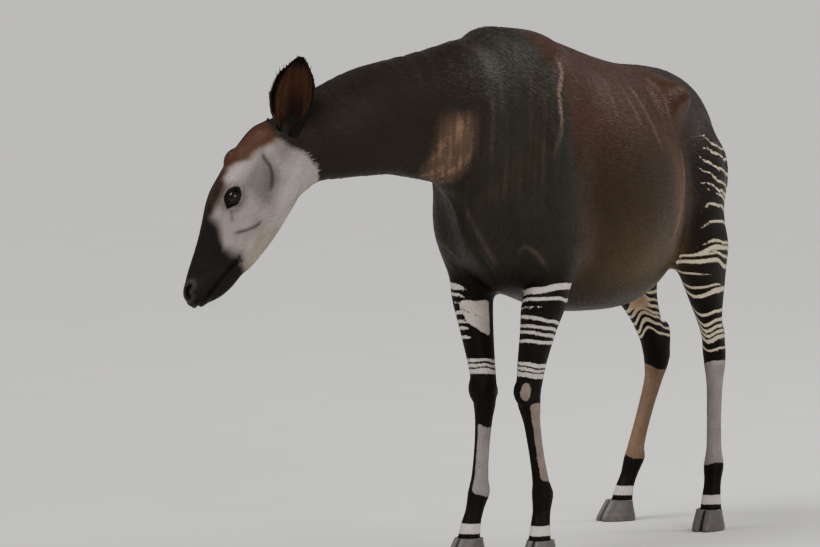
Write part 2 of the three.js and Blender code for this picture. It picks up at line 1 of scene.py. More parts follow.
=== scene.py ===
"""A standing female okapi: one skin laid on a smooth field of the body, with ears and short fur in
tufts, and eyes, lids, hairs and hooves of their own. The body is in millimetres until it reaches a mesh."""
import math

import bmesh
import bpy
import numpy as np
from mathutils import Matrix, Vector


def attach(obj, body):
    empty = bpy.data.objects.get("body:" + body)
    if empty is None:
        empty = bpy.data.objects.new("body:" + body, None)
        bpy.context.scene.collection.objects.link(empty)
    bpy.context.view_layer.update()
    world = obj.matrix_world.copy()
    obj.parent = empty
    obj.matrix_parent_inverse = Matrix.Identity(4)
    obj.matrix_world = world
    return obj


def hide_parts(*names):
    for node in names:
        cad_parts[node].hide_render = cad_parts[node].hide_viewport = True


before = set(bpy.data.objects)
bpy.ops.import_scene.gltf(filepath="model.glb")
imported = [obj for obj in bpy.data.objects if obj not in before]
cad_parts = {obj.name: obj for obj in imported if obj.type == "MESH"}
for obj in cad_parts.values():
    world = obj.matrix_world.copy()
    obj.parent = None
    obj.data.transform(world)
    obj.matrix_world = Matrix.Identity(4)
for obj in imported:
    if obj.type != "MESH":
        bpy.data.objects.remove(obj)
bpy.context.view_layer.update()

MM = 0.001
BOX_CENTRE = np.array([-115.64, -343.16, 0.0])
SEED = 41
random = np.random.default_rng(SEED)


def to_row(points):
    return (np.asarray(points, float) - BOX_CENTRE) * MM


# Camera at the photograph's viewing angle
CAMERA_AT = (6700.0, -12084.7, 1700.0)
CAMERA_YAW = math.radians(31.1775)
CAMERA_PITCH = math.radians(3.70605)
CAMERA_LENS = 204.15

camera_data = bpy.data.cameras.new("camera")
camera_data.lens = CAMERA_LENS
camera_data.clip_start = 1.0
camera_data.clip_end = 1000.0
camera = bpy.data.objects.new("camera", camera_data)
camera.location = to_row(CAMERA_AT)
camera.rotation_euler = (math.pi / 2 - CAMERA_PITCH, 0.0, CAMERA_YAW)
bpy.context.scene.collection.objects.link(camera)
bpy.context.scene.camera = camera


# Vectors
def unit(v):
    v = np.asarray(v, float)
    return v / np.maximum(np.linalg.norm(v, axis=-1, keepdims=True), 1e-12)


def smooth(low, high, x):
    t = np.clip((np.asarray(x, float) - low) / (high - low), 0.0, 1.0)
    return t * t * (3.0 - 2.0 * t)


def through_rows(rows, steps):
    """A smooth curve through rows of numbers."""
    rows = np.asarray(rows, float)
    before = rows[np.maximum(np.arange(len(rows)) - 1, 0)]
    after = rows[np.minimum(np.arange(len(rows)) + 1, len(rows) - 1)]
    slope = (after - before) / 2.0
    out = []
    for i in range(len(rows) - 1):
        for k in range(steps):
            t = k / steps
            out.append(
                rows[i] * (2 * t**3 - 3 * t**2 + 1)
                + rows[i + 1] * (3 * t**2 - 2 * t**3)
                + slope[i] * (t**3 - 2 * t**2 + t)
                + slope[i + 1] * (t**3 - t**2)
            )
    out.append(rows[-1])
    return np.array(out)


# Fields: each takes points and gives their distance from the surface, negative inside
FAR = 1000.0


class Tube:
    """Egg-shaped sections along a curve. A station is [x, y, z, half side, reach up, reach down]."""

    def __init__(self, stations, up, steps=4):
        rows = through_rows(stations, steps)
        self.at = rows[:, :3]
        self.size = rows[:, 3:]
        index = np.arange(len(rows))
        ahead = self.at[np.minimum(index + 1, len(rows) - 1)]
        behind = self.at[np.maximum(index - 1, 0)]
        self.along = unit(ahead - behind)
        self.side = unit(np.cross(np.asarray(up, float), self.along))
        self.top = np.cross(self.along, self.side)
        margin = rows[:, 3:].max() + 220.0
        self.low = self.at.min(0) - margin
        self.high = self.at.max(0) + margin
        step = np.linalg.norm(np.diff(self.at, axis=0), axis=1)
        self.length = np.concatenate([[0.0], np.cumsum(step)])

    def nearest(self, p):
        best = np.full(len(p), np.inf)
        which = np.zeros(len(p), int)
        share = np.zeros(len(p))
        for i in range(len(self.at) - 1):
            a = self.at[i]
            ab = self.at[i + 1] - a
            t = np.clip((p - a) @ ab / (ab @ ab), 0.0, 1.0)
            away = p - a - t[:, None] * ab
            d = np.einsum("ij,ij->i", away, away)
            closer = d < best
            best[closer] = d[closer]
            which[closer] = i
            share[closer] = t[closer]
        return best, which, share

    def place(self, p):
        """Signed offsets to the side and the top, the sizes there, and the length along."""
        best, i, t = self.nearest(p)

        def blend(a):
            return a[i] * (1 - t[:, None]) + a[i + 1] * t[:, None]

        away = p - blend(self.at)
        x = np.einsum("ij,ij->i", away, unit(blend(self.side)))
        z = np.einsum("ij,ij->i", away, unit(blend(self.top)))
        along = self.length[i] * (1 - t) + self.length[i + 1] * t
        at_end = ((i == 0) & (t == 0)) | ((i == len(self.at) - 2) & (t == 1))
        past = np.where(at_end, np.sqrt(np.maximum(best - x * x - z * z, 0.0)), 0.0)
        return x, z, blend(self.size), along, past

    def __call__(self, p):
        out = np.full(len(p), FAR)
        near = np.all((p > self.low) & (p < self.high), axis=1)
        if not near.any():
            return out
        x, z, size, _, past = self.place(p[near])
        half = size[:, 0]
        reach = np.where(z > 0, size[:, 1], size[:, 2])
        across = np.maximum(np.hypot(x, z), 1e-6)
        d = across - across / np.maximum(np.hypot(x / half, z / reach), 1e-9)
        out[near] = np.where(past > 0.5, np.hypot(np.maximum(d, 0.0), past), d)
        return out


class Sliced:
    """Egg-shaped slices square to one direction. A station is
    [place along, offset to the side, offset to the top, half side, reach up, reach down]."""

    def __init__(self, stations, origin, axes, square_up=2.0, square_down=2.0):
        self.rows = through_rows(stations, 6)
        self.origin = np.asarray(origin, float)
        self.axes = np.array(axes, float)
        self.power = (square_up, square_down)

    def __call__(self, p):
        s, x, z = ((p - self.origin) @ self.axes.T).T
        first, last = self.rows[0, 0], self.rows[-1, 0]
        x0, z0, half, up, down = (
            np.interp(s, self.rows[:, 0], self.rows[:, k]) for k in range(1, 6)
        )
        x = x - x0
        z = z - z0
        reach = np.where(z > 0, up, down)
        power = np.where(z > 0, *self.power)
        across = np.maximum(np.hypot(x, z), 1e-6)
        ratio = (np.abs(x / half) ** power + np.abs(z / reach) ** power) ** (1 / power)
        d = across - across / np.maximum(ratio, 1e-9)
        past = np.maximum(np.maximum(first - s, s - last), 0.0)
        return np.where(past > 0, np.hypot(np.maximum(d, 0.0), past), d)


class Ball:
    """An ellipsoid with its own axes: first along `along`, third towards `up`."""

    def __init__(self, at, radii, along=(1, 0, 0), up=(0, 0, 1)):
        a = unit(along)
        b = unit(np.cross(up, a))
        self.axes = np.array([a, b, np.cross(a, b)])
        self.at = np.asarray(at, float)
        self.radii = np.asarray(radii, float)

    def __call__(self, p):
        out = np.full(len(p), FAR)
        near = np.linalg.norm(p - self.at, axis=1) < self.radii.max() + 250.0
        r = (p[near] - self.at) @ self.axes.T / self.radii
        k0 = np.linalg.norm(r, axis=1)
        k1 = np.maximum(np.linalg.norm(r / self.radii, axis=1), 1e-9)
        out[near] = k0 * (k0 - 1) / k1
        return out


def joined(first, *rest):
    """Fields joined one after another, each with a fillet of its own width."""

    def field(p):
        d = first(p)
        for other, fillet in rest:
            e = other(p)
            h = np.maximum(fillet - np.abs(d - e), 0.0) / fillet
            d = np.minimum(d, e) - h * h * fillet / 4
        return d

    return field


# The head's own frame: [left, towards the muzzle, towards the crown]
HEAD_AT = np.array([-279.0, -1272.0, 1195.0])
HEAD_YAW = math.radians(52.4)
HEAD_PITCH = math.radians(59.8)
HEAD_ROLL = math.radians(7.0)

head_forward = np.array(
    [
        -math.sin(HEAD_YAW) * math.cos(HEAD_PITCH),
        -math.cos(HEAD_YAW) * math.cos(HEAD_PITCH),
        -math.sin(HEAD_PITCH),
    ]
)
head_level = np.array([math.cos(HEAD_YAW), -math.sin(HEAD_YAW), 0.0])
head_left = head_level * math.cos(HEAD_ROLL) + np.cross(head_forward, head_level) * math.sin(HEAD_ROLL)
head_up = np.cross(head_forward, head_left)
HEAD_AXES = np.array([head_left, head_forward, head_up])


def head_turn(v):
    return np.asarray(v, float) @ HEAD_AXES


def on_head(v):
    return HEAD_AT + head_turn(v)


def in_head(p):
    return (p - HEAD_AT) @ HEAD_AXES.T


# Driving dimensions, as in the part
WITHERS = 1534
CROUP = 1404
BELLY = 700
BODY_HALF_WIDTH = 268
CORONET = 64
EYE_RADIUS = 23
EYE_AT = np.array([69.0, 158.0, 41.0])
EAR_LENGTH = 222


def station(y, widest, half, top, bottom):
    return [-y, 0, widest, half, top - widest, widest - bottom]


trunk = Sliced(
    [
        station(730, 1062, 34, 1215, 985),
        station(690, 1060, 82, 1290, 935),
        station(600, 1057, 138, 1362, 895),
        station(480, 1052, 168, CROUP, 838),
        station(330, 1040, 186, 1423, 758),
        station(150, 1025, 240, 1434, BELLY),
        station(-40, 1030, BODY_HALF_WIDTH, 1463, BELLY - 5),
        station(-200, 1055, 256, 1497, 708),
        station(-350, 1080, 220, 1528, 742),
        station(-500, 1105, 188, WITHERS, 784),
        station(-602, 1110, 134, 1526, 850),
        station(-674, 1103, 78, 1478, 915),
        station(-714, 1098, 36, 1350, 985),
    ],
    (0, 0, 0),
    ((0, -1, 0), (1, 0, 0), (0, 0, 1)),
    square_up=1.9,
    square_down=2.1,
)

# Muscles and bones of the left side: place, radii, lean of the upper end, fillet
SWELLINGS = [
    # shoulder blade
    ((128, -480, 1190), (62, 125, 285), (0, 0.32, 1), 90),
    # point of the shoulder
    ((100, -530, 1015), (60, 70, 115), (0, 0.3, 1), 60),
    # upper arm and triceps
    ((142, -450, 950), (66, 105, 130), (0, -0.5, 1), 80),
    # haunch
    ((121, 440, 1035), (82, 150, 222), (0, 0.05, 1), 70),
    # hip bone
    ((138, 270, 1325), (55, 80, 48), (0, 0, 1), 90),
    # seat bone
    ((78, 635, 1075), (55, 55, 105), (0, 0.3, 1), 70),
]
MIRROR = np.array([-1.0, 1.0, 1.0])
swellings = []
for at, radii, up, fillet in SWELLINGS:
    swellings.append((Ball(at, radii, (1, 0, 0), up), fillet))
    swellings.append((Ball(at * MIRROR, radii, (-1, 0, 0), up * MIRROR), fillet))

neck = Tube(
    [
        [0, -380, 1255, 125, 215, 260],
        [0, -560, 1262, 134, 237, 225],
        [-18, -740, 1280, 124, 238, 190],
        [-81, -933, 1303, 106, 165, 178],
        [-134, -1060, 1283, 96, 152, 158],
        [-190, -1160, 1252, 86, 130, 135],
        [-250, -1235, 1215, 74, 105, 105],
    ],
    (0, 0, 1),
)

# The skull: forward, crown, chin, half width, level of the widest
SKULL_ROWS = [
    (-75, 70, -60, 45, 5),
    (-35, 96, -108, 68, 0),
    (20, 106, -119, 76, 5),
    (75, 110, -117, 80, 18),
    (130, 110, -117, 84, 30),
    (175, 109, -116, 82, 30),
    (215, 101, -113, 71, 22),
    (260, 86, -107, 58, 10),
    (305, 72, -98, 51, 0),
    (350, 61, -80, 46, -4),
    (400, 50, -62, 43, -4),
    (440, 38, -48, 42, -5),
    (464, 25, -36, 35, -5),
    (479, 6, -18, 16, -6),
]
skull = Sliced(
    [[f, 0, w, half, crown - w, w - chin] for f, crown, chin, half, w in SKULL_ROWS],
    HEAD_AT,
    (head_forward, head_left, head_up),
    square_up=2.3,
    square_down=1.75,
)

# Forms of the head: place, radii, fillet, for each side
HEAD_FORMS = [
    # brow over the eye
    ((62, 150, 68), (26, 48, 24), 30),
    # cheek muscle
    ((48, 70, -45), (30, 75, 62), 40),
    # knob of the forehead
    ((34, 68, 100), (20, 24, 18), 26),
    # root of the ear
    ((62, -48, 5), (30, 34, 32), 40),
    # wing of the nostril
    ((24, 440, 14), (20, 30, 18), 18),
]


def head_ball(at, radii, up=(0, 0, 1)):
    return Ball(on_head(at), radii, head_turn((1, 0, 0)), head_turn(up))


head_forms = [
    (head_ball(at * np.array([s, 1, 1]), radii), fillet)
    for s in (1, -1)
    for at, radii, fillet in HEAD_FORMS
]
head_forms += [(head_ball((s * 26, 405, -22), (20, 60, 22), (0, -0.25, 1)), 22) for s in (1, -1)]
head_forms.append((head_ball((0, 385, -56), (26, 50, 20), (0, -0.3, 1)), 22))
head = joined(skull, *head_forms)

# Legs: [x, y, z, half width, reach to the front, reach to the back], from inside the trunk down
LEGS = {
    "foreleg_left": (
        0,
        (108, -462),
        [
            [142, -450, 930, 66, 92, 100],
            [136, -458, 830, 60, 74, 92],
            [127, -474, 750, 62, 86, 80],
            [112, -484, 670, 52, 64, 62],
            [97, -494, 580, 43, 48, 50],
            [90, -496, 525, 40, 40, 42],
            [86, -497, 492, 39, 40, 40],
            [86, -490, 450, 34, 34, 36],
            [88, -478, 400, 26, 27, 30],
            [92, -462, 320, 23, 24, 28],
            [97, -446, 240, 25, 26, 32],
            [100, -439, 195, 32, 32, 40],
            [103, -449, 145, 28, 27, 33],
            [106, -461, 100, 31, 31, 32],
            [108, -468, 40, 37, 40, 36],
        ],
    ),
    "foreleg_right": (
        -14,
        (-98, -520),
        [
            [-142, -440, 930, 66, 92, 100],
            [-138, -440, 830, 60, 74, 92],
            [-132, -444, 750, 55, 66, 72],
            [-116, -450, 670, 46, 56, 60],
            [-97, -456, 580, 40, 45, 48],
            [-86, -460, 525, 39, 40, 42],
            [-82, -461, 490, 39, 40, 40],
            [-81, -461, 445, 33, 34, 36],
            [-82, -465, 395, 26, 27, 30],
            [-84, -473, 315, 23, 24, 28],
            [-86, -481, 238, 25, 26, 32],
            [-87, -486, 193, 32, 32, 40],
            [-91, -501, 145, 28, 27, 33],
            [-95, -515, 100, 31, 31, 32],
            [-98, -524, 40, 37, 40, 36],
        ],
    ),
    "hindleg_left": (
        6,
        (166, 478),
        [
            [132, 425, 1050, 40, 70, 100],
            [141, 425, 960, 68, 115, 145],
            [147, 434, 880, 80, 132, 165],
            [152, 452, 790, 66, 112, 125],
            [153, 476, 710, 52, 76, 84],
            [152, 503, 640, 40, 50, 58],
            [151, 523, 590, 34, 42, 58],
            [150, 536, 545, 36, 42, 54],
            [151, 540, 500, 34, 38, 42],
            [152, 538, 440, 27, 29, 33],
            [153, 533, 340, 24, 24, 29],
            [156, 527, 245, 25, 26, 32],
            [158, 522, 195, 32, 31, 40],
            [161, 510, 145, 28, 27, 33],
            [164, 497, 100, 31, 31, 32],
            [166, 489, 40, 37, 40, 36],
        ],
    ),
    "hindleg_right": (
        -26,
        (-190, 560),
        [
            [-132, 425, 1050, 40, 70, 100],
            [-141, 435, 960, 68, 115, 145],
            [-149, 468, 880, 80, 134, 165],
            [-156, 530, 790, 66, 112, 125],
            [-150, 575, 710, 54, 78, 84],
            [-142, 626, 635, 42, 54, 60],
            [-138, 668, 565, 35, 43, 58],
            [-137, 694, 515, 37, 43, 54],
            [-139, 700, 472, 34, 39, 42],
            [-144, 688, 425, 27, 30, 34],
            [-156, 652, 325, 24, 25, 30],
            [-168, 626, 235, 25, 27, 32],
            [-172, 616, 190, 32, 31, 40],
            [-179, 600, 143, 28, 27, 33],
            [-186, 583, 98, 31, 31, 32],
            [-190, 573, 40, 37, 40, 36],
        ],
    ),
}


class Leg:
    """One leg's field, with its own directions to the front and the left."""

    def __init__(self, name, turn, hoof_at, rows):
        angle = math.radians(turn)
        self.name = name
        self.rows = np.array(rows, float)
        self.hoof_at = hoof_at
        self.front = np.array([math.sin(angle), -math.cos(angle), 0.0])
        self.left = np.array([math.cos(angle), math.sin(angle), 0.0])
        slices = [
            [-z, self.left @ (x, y, 0), self.front @ (x, y, 0), *sizes] for x, y, z, *sizes in rows
        ]
        self.slices = Sliced(slices, (0, 0, 0), ((0, 0, -1), self.left, self.front))
        if name.startswith("hind"):
            # point of the hock
            extras = [self.ball(6, -50, 12, (19, 22, 42), 26)]
        else:
            # knee cap, and the pisiform bone behind it
            extras = [self.ball(6, 30, 4, (30, 18, 36), 18), self.ball(6, -34, -6, (17, 20, 26), 16)]
        self.field = joined(self.slices, *extras)

    def ball(self, row, front, lift, radii, fillet):
        at = self.rows[row, :3] + self.front * front + np.array([0.0, 0.0, lift])
        return Ball(at, radii, self.left, (0, 0, 1)), fillet


legs = {name: Leg(name, *data) for name, data in LEGS.items()}

TAIL_ROWS = [
    # y, z, half width, depth
    (650, 1262, 32, 32),
    (712, 1232, 26, 26),
    (748, 1165, 18, 18),
    (757, 1060, 13, 13),
    (755, 1000, 15, 15),
    (753, 940, 21, 19),
    (750, 885, 17, 15),
    (748, 845, 6, 6),
]
tail = Tube([[0, y, z, half, depth, depth] for y, z, half, depth in TAIL_ROWS], (0, 1, 0))

body = joined(
    trunk,
    *swellings,
    (neck, 120),
    (head, 60),
    *[(leg.field, 40) for leg in legs.values()],
    (tail, 20),
)


# The skin: copies of the flesh nodes, remeshed as one, then laid on the field
FLESH = ["torso", "neck", "head", "tail", *LEGS]
VOXEL = 0.0075
COAT_DEPTH = 5.0
FACE_DEPTH = 2.5
LEG_DEPTH = 3.0


def remeshed_flesh():
    merged = bmesh.new()
    for name in FLESH:
        merged.from_mesh(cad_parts[name].data)
    mesh = bpy.data.meshes.new("skin")
    merged.to_mesh(mesh)
    merged.free()
    skin = bpy.data.objects.new("skin", mesh)
    bpy.context.scene.collection.objects.link(skin)
    remesh = skin.modifiers.new("remesh", "REMESH")
    remesh.mode = "VOXEL"
    remesh.voxel_size = VOXEL
    graph = bpy.context.evaluated_depsgraph_get()
    mesh = bpy.data.meshes.new_from_object(skin.evaluated_get(graph))
    skin.modifiers.clear()
    skin.data = mesh
    return skin


def points_of(mesh):
    co = np.empty(len(mesh.vertices) * 3, np.float32)
    mesh.vertices.foreach_get("co", co)
    return co.reshape(-1, 3).astype(float)


def set_points(mesh, points):
    mesh.vertices.foreach_set("co", np.asarray(points, np.float32).ravel())
    mesh.update()


def keep_largest(mesh):
    """Only the largest island of a mesh stays."""
    edges = np.empty(len(mesh.edges) * 2, int)
    mesh.edges.foreach_get("vertices", edges)
    edges = edges.reshape(-1, 2)
    label = np.arange(len(mesh.vertices))
    while True:
        low = np.minimum(label[edges[:, 0]], label[edges[:, 1]])
        new = label.copy()
        np.minimum.at(new, edges[:, 0], low)
        np.minimum.at(new, edges[:, 1], low)
        new = new[new]
        if (new == label).all():
            break
        label = new
    main = np.bincount(label).argmax()
    drop = np.nonzero(label != main)[0]
    if len(drop):
        bm = bmesh.new()
        bm.from_mesh(mesh)
        bm.verts.ensure_lookup_table()
        bmesh.ops.delete(bm, geom=[bm.verts[i] for i in drop], context="VERTS")
        bm.to_mesh(mesh)
        bm.free()


def refine(mesh, chosen):
    """Edges whose middle is chosen are split in two, and the faces between them with them."""
    bm = bmesh.new()
    bm.from_mesh(mesh)
    middles = np.array([(e.verts[0].co + e.verts[1].co) / 2 for e in bm.edges])
    wanted = chosen(middles / MM + BOX_CENTRE)
    edges = [e for e, w in zip(bm.edges, wanted) if w]
    bmesh.ops.subdivide_edges(bm, edges=edges, cuts=1, use_grid_fill=True)
    bm.to_mesh(mesh)
    bm.free()


def gradient(field, p, step=0.6):
    corners = np.array([[1, -1, -1], [-1, -1, 1], [-1, 1, -1], [1, 1, 1]], float)
    g = np.zeros_like(p)
    mean = np.zeros(len(p))
    for corner in corners:
        value = field(p + corner * step)
        g += value[:, None] * corner
        mean += value
    return g / (4 * step), mean / 4


def lay_on(field, p, rounds=3, most=14.0):
    """Moves points to the zero of a field along its gradient."""
    for _ in range(rounds):
        g, value = gradient(field, p)
        size = np.maximum(np.einsum("ij,ij->i", g, g), 0.15)
        move = -g * (value / size)[:, None]
        length = np.maximum(np.linalg.norm(move, axis=1, keepdims=True), 1e-9)
        p = p + move * np.minimum(1.0, most / length)
    return p


def coat_depth(p):
    h = in_head(p)
    on_face = smooth(-90.0, 20.0, h[:, 1])
    low = smooth(860.0, 640.0, p[:, 2])
    depth = COAT_DEPTH + (LEG_DEPTH - COAT_DEPTH) * low
    return depth + (FACE_DEPTH - depth) * on_face


# Eyes: the lids swell over the ball, and an almond is open between them
LID_RADIUS = 25.8
BEHIND_LIDS = 21.0
OPENING = (22.0, 15.4)
PINCH = 0.28
LID_FILLET = 12.0
LID_MARGIN = 2.5


def in_eye(p, s):
    """Points in the frame of one eye: [outwards, towards the muzzle, towards the crown]."""
    return in_head(p) * np.array([s, 1, 1]) - EYE_AT


def from_eyes(p):
    """The distance to the nearer eye's centre."""
    return np.minimum(np.linalg.norm(in_eye(p, 1), axis=1), np.linalg.norm(in_eye(p, -1), axis=1))


def opening_value(e):
    """Millimetres outside the almond that is open between the lids."""
    f = e[:, 1] / OPENING[0]
    u = e[:, 2] / OPENING[1]
    angle = np.arctan2(u, f)
    pinch = 1 - PINCH * np.abs(np.cos(angle)) ** 3
    return (np.hypot(f, u / pinch) - 1) * OPENING[1]


def opening_rim(angle, radius):
    """The opening's outline on a ball of some radius, in the frame of the eye."""
    f = OPENING[0] * np.cos(angle)
    u = OPENING[1] * np.sin(angle) * (1 - PINCH * np.abs(np.cos(angle)) ** 3)
    out = np.sqrt(np.maximum(radius**2 - f**2 - u**2, 9.0))
    return np.stack([out, f, u], axis=1)


def lids(p, d):
    for s in (1, -1):
        e = in_eye(p, s)
        near = (np.linalg.norm(e, axis=1) < 60) & (e[:, 0] > -8)
        if not near.any():
            continue
        r = np.linalg.norm(e[near], axis=1)
        swelling = r - LID_RADIUS
        h = np.maximum(LID_FILLET - np.abs(d[near] - swelling), 0) / LID_FILLET
        here = np.minimum(d[near], swelling) - h * h * 3
        cut = np.maximum(opening_value(e[near]), BEHIND_LIDS - r)
        cut = np.where(e[near][:, 0] > 0, cut, FAR)
        h = np.maximum(LID_MARGIN - np.abs(here + cut), 0) / LID_MARGIN
        d[near] = np.maximum(here, -cut) + h * h * 0.6
    return d


# Folds of the skin: a line, how wide, how high, and whether both sides have it
FOLDS = [
    # rear edge of the shoulder blade
    ([(129, -448, 1477), (173, -460, 1412), (187, -500, 1355), (204, -513, 1261),
      (200, -548, 1175), (194, -563, 1099)], 11, 4, True),
    # the hollow behind it
    ([(110, -400, 1475), (178, -415, 1390), (206, -440, 1250), (205, -470, 1110)], 30, -4, True),
    # ribs and the last rib
    ([(140, -33, 1387), (190, -10, 1320), (222, 4, 1250), (244, 40, 1165)], 11, 3.2, True),
    ([(105, -100, 1425), (188, -85, 1320), (236, -67, 1226)], 12, 2.4, True),
    ([(110, -180, 1440), (203, -190, 1308), (243, -200, 1190)], 13, 2, True),
    ([(110, -270, 1455), (195, -280, 1320), (236, -285, 1200)], 13, 1.6, True),
    # hip bone's front, and the hollow of the flank
    ([(76, 169, 1410), (130, 170, 1365), (180, 175, 1290), (214, 175, 1200)], 14, 3, True),
    ([(120, 110, 1365), (185, 110, 1270), (225, 115, 1180)], 28, -4.5, True),
    # fold from flank to stifle
    ([(196, 224, 1194), (220, 210, 1081), (236, 140, 971), (222, 100, 875)], 12, 2.2, True),
    # line between haunch and rump
    ([(130, 420, 1330), (178, 460, 1240), (170, 560, 1130)], 24, -3, True),
    # wrinkles where the neck bends
    ([(54, -891, 1269), (49, -852, 1182), (24, -799, 1115)], 7, 4, False),
    ([(77, -841, 1279), (59, -806, 1159), (40, -780, 1110)], 8, 4.5, False),
    ([(49, -920, 1316), (47, -880, 1203), (4, -827, 1116)], 6, 3, False),
    ([(88, -810, 1342), (76, -790, 1201), (40, -765, 1110)], 7, -3.5, False),
    ([(60, -870, 1290), (50, -830, 1180), (15, -812, 1112)], 5, -3, False),
    ([(95, -760, 1370), (95, -720, 1230), (75, -700, 1120)], 12, 3, False),
    # folds of the chest between the forelegs
    ([(-20, -789, 1092), (-14, -725, 1019), (4, -691, 947), (15, -611, 861), (11, -528, 801)], 9, -6, False),
    ([(10, -775, 1085), (16, -715, 1010), (34, -670, 935), (45, -595, 850)], 9, 3.5, False),
    ([(-149, -560, 880), (-138, -513, 834), (-100, -491, 801)], 9, 2.4, False),
    ([(-120, -600, 905), (-112, -560, 850), (-90, -530, 812)], 7, -3, False),
    # elbow
    ([(107, -596, 890), (136, -608, 918), (158, -572, 896), (165, -520, 850)], 10, 2.2, True),
    ([(33, -664, 924), (73, -657, 955), (110, -640, 950)], 10, 3, False),
    # tendon and groove of the lower thigh
    ([(185, 500, 760), (182, 520, 690), (176, 540, 620)], 9, -3, False),
    # rounds off the hip bone
    ([(168, 190, 1345), (180, 245, 1328), (184, 262, 1305), (172, 320, 1290)], 30, -7, True),
]
# Folds of the head in [towards the muzzle, towards the crown], on both sides
HEAD_FOLDS = [
    # from the cheek bone to the corner of the mouth
    ([(166, -60), (191, -56), (219, -37), (236, -20), (252, -6)], 4.5, -2.4),
    ([(160, -52), (188, -47), (215, -29), (240, -8)], 6, 2.0),
    # behind the eye, down from the ear
    ([(-4, 38), (12, 30), (23, 18), (36, -8), (64, -30), (104, -44)], 8, -2.6),
    ([(14, 44), (36, 26), (50, 2), (76, -16), (112, -28)], 9, 1.8),
    # crease above and below the lids
    ([(133, 58), (146, 66), (163, 68), (180, 60)], 4, -1.6),
    ([(128, 38), (135, 20), (152, 12), (172, 16), (188, 30)], 4, -1.4),
    ([(190, 32), (204, 18), (222, 6)], 4, -1.5),
    # jaw
    ([(60, -84), (120, -92), (190, -88), (250, -78)], 9, 1.6),
    ([(20, -60), (70, -72), (120, -74)], 8, -1.4),
    # corner of the mouth
    ([(286, -50), (296, -60), (303, -74)], 4, -2.0),
    # bridge of the nose
    ([(230, 52), (280, 40), (330, 30), (380, 26)], 9, -1.4),
]
MOUTH = [(298, -56), (330, -50), (370, -43), (410, -37), (445, -31), (482, -24)]
NOSTRIL = [(428, 21), (440, 24), (451, 19), (459, 9)]


def line_distance(p, line, ends=0.25):
    """Distance to a broken line, and a weight that fades at its two ends."""
    line = np.asarray(line, float)
    step = np.linalg.norm(np.diff(line, axis=0), axis=1)
    start = np.concatenate([[0.0], np.cumsum(step)])
    best = np.full(len(p), np.inf)
    share = np.zeros(len(p))
    for a, b, s0, length in zip(line[:-1], line[1:], start, step):
        t = np.clip((p - a) @ (b - a) / length**2, 0.0, 1.0)
        d = np.linalg.norm(p - a - t[:, None] * (b - a), axis=1)
        closer = d < best
        best[closer] = d[closer]
        share[closer] = ((s0 + t * length) / start[-1])[closer]
    return best, smooth(0, ends, share) * smooth(0, ends, 1 - share)


def relief(p):
    """How far the skin rises at each point, for its folds."""
    rise = np.zeros(len(p))
    for line, width, height, both in FOLDS:
        line = through_rows(line, 3)
        low, high = line.min(0) - 3 * width, line.max(0) + 3 * width
        for s in (1, -1) if both else (1,):
            q = p * np.array([s, 1, 1])
            near = np.all((q > low) & (q < high), axis=1)
            if near.any():
                d, weight = line_distance(q[near], line)
                rise[near] += height * weight * np.exp(-((d / width) ** 2))
    h = in_head(p)
    near = np.nonzero((h[:, 1] > -60) & (h[:, 1] < 520) & (np.linalg.norm(h, axis=1) < 540))[0]
    flat = h[near][:, 1:]
    side = smooth(6, 22, np.abs(h[near][:, 0]))
    eye = from_eyes(p[near])
    clear = smooth(24, 30, eye)
    for line, width, height in HEAD_FOLDS:
        d, weight = line_distance(flat, through_rows(line, 3))
        rise[near] += clear * side * height * weight * np.exp(-((d / width) ** 2))
    d, _ = line_distance(flat, through_rows(MOUTH, 3))
    rise[near] += 1.6 * np.exp(-(((d - 7) / 4.5) ** 2)) * smooth(296, 330, flat[:, 0])
    rise[near] -= 4.2 * np.exp(-((d / 2.6) ** 2))
    d, weight = line_distance(flat, through_rows(NOSTRIL, 3), 0.12)
    rise[near] += side * weight * (2.2 * np.exp(-(((d - 6) / 3) ** 2)) - 7.5 * np.exp(-((d / 3.6) ** 2)))
    return rise


def skin_field(p):
    return lids(p, body(p) + coat_depth(p))


LEG_LOW = 850
skin = remeshed_flesh()
keep_largest(skin.data)
refine(skin.data, lambda p: np.linalg.norm(p - on_head((0, 200, 0)), axis=1) < 330)
refine(skin.data, lambda p: p[:, 2] < LEG_LOW - 0.35 * np.abs(p[:, 1]) * (p[:, 1] < 0))
eyes_and_lips = [(on_head(EYE_AT * np.array([s, 1, 1])), 48) for s in (1, -1)]
eyes_and_lips += [(on_head((0, 430, 0)), 72)]
for centre, radius in eyes_and_lips:
    refine(skin.data, lambda p: np.linalg.norm(p - centre, axis=1) < radius)
points = points_of(skin.data) / MM + BOX_CENTRE
points = lay_on(skin_field, points)
normals = unit(gradient(skin_field, points)[0])
points = points + normals * relief(points)[:, None]


# Ears: a cupped leaf rolled into a tube at its root
# Each row: share of the length, radius of the roll, half angle in degrees, how far the back bows out
EAR_ROWS = [
    (-0.16, 12, 172, 2),
    (-0.08, 20, 170, 1),
    (0, 25, 165, 0),
    (0.1, 32, 146, 2),
    (0.22, 44, 118, 6),
    (0.36, 56, 98, 10),
    (0.5, 61, 88, 12),
    (0.64, 58, 82, 12),
    (0.78, 47, 78, 9),
    (0.89, 29, 74, 4),
    (0.96, 15, 70, 0),
    (1, 5, 66, -3),
]
EAR_ROOT = np.array([60.0, -62.0, -8.0])
EAR_TIP = np.array([88.0, -262.0, 74.0])
EAR_OPENS = np.array([0.93, 0.3, 0.2])
# how far the sunk end of the root bends into the head
EAR_SINK = 46
EAR_HALF_THICK = 1.6
# the front margin is where the angle has this sign
EAR_FRONT = -1
EAR_STEPS = 6
EAR_ACROSS = 32


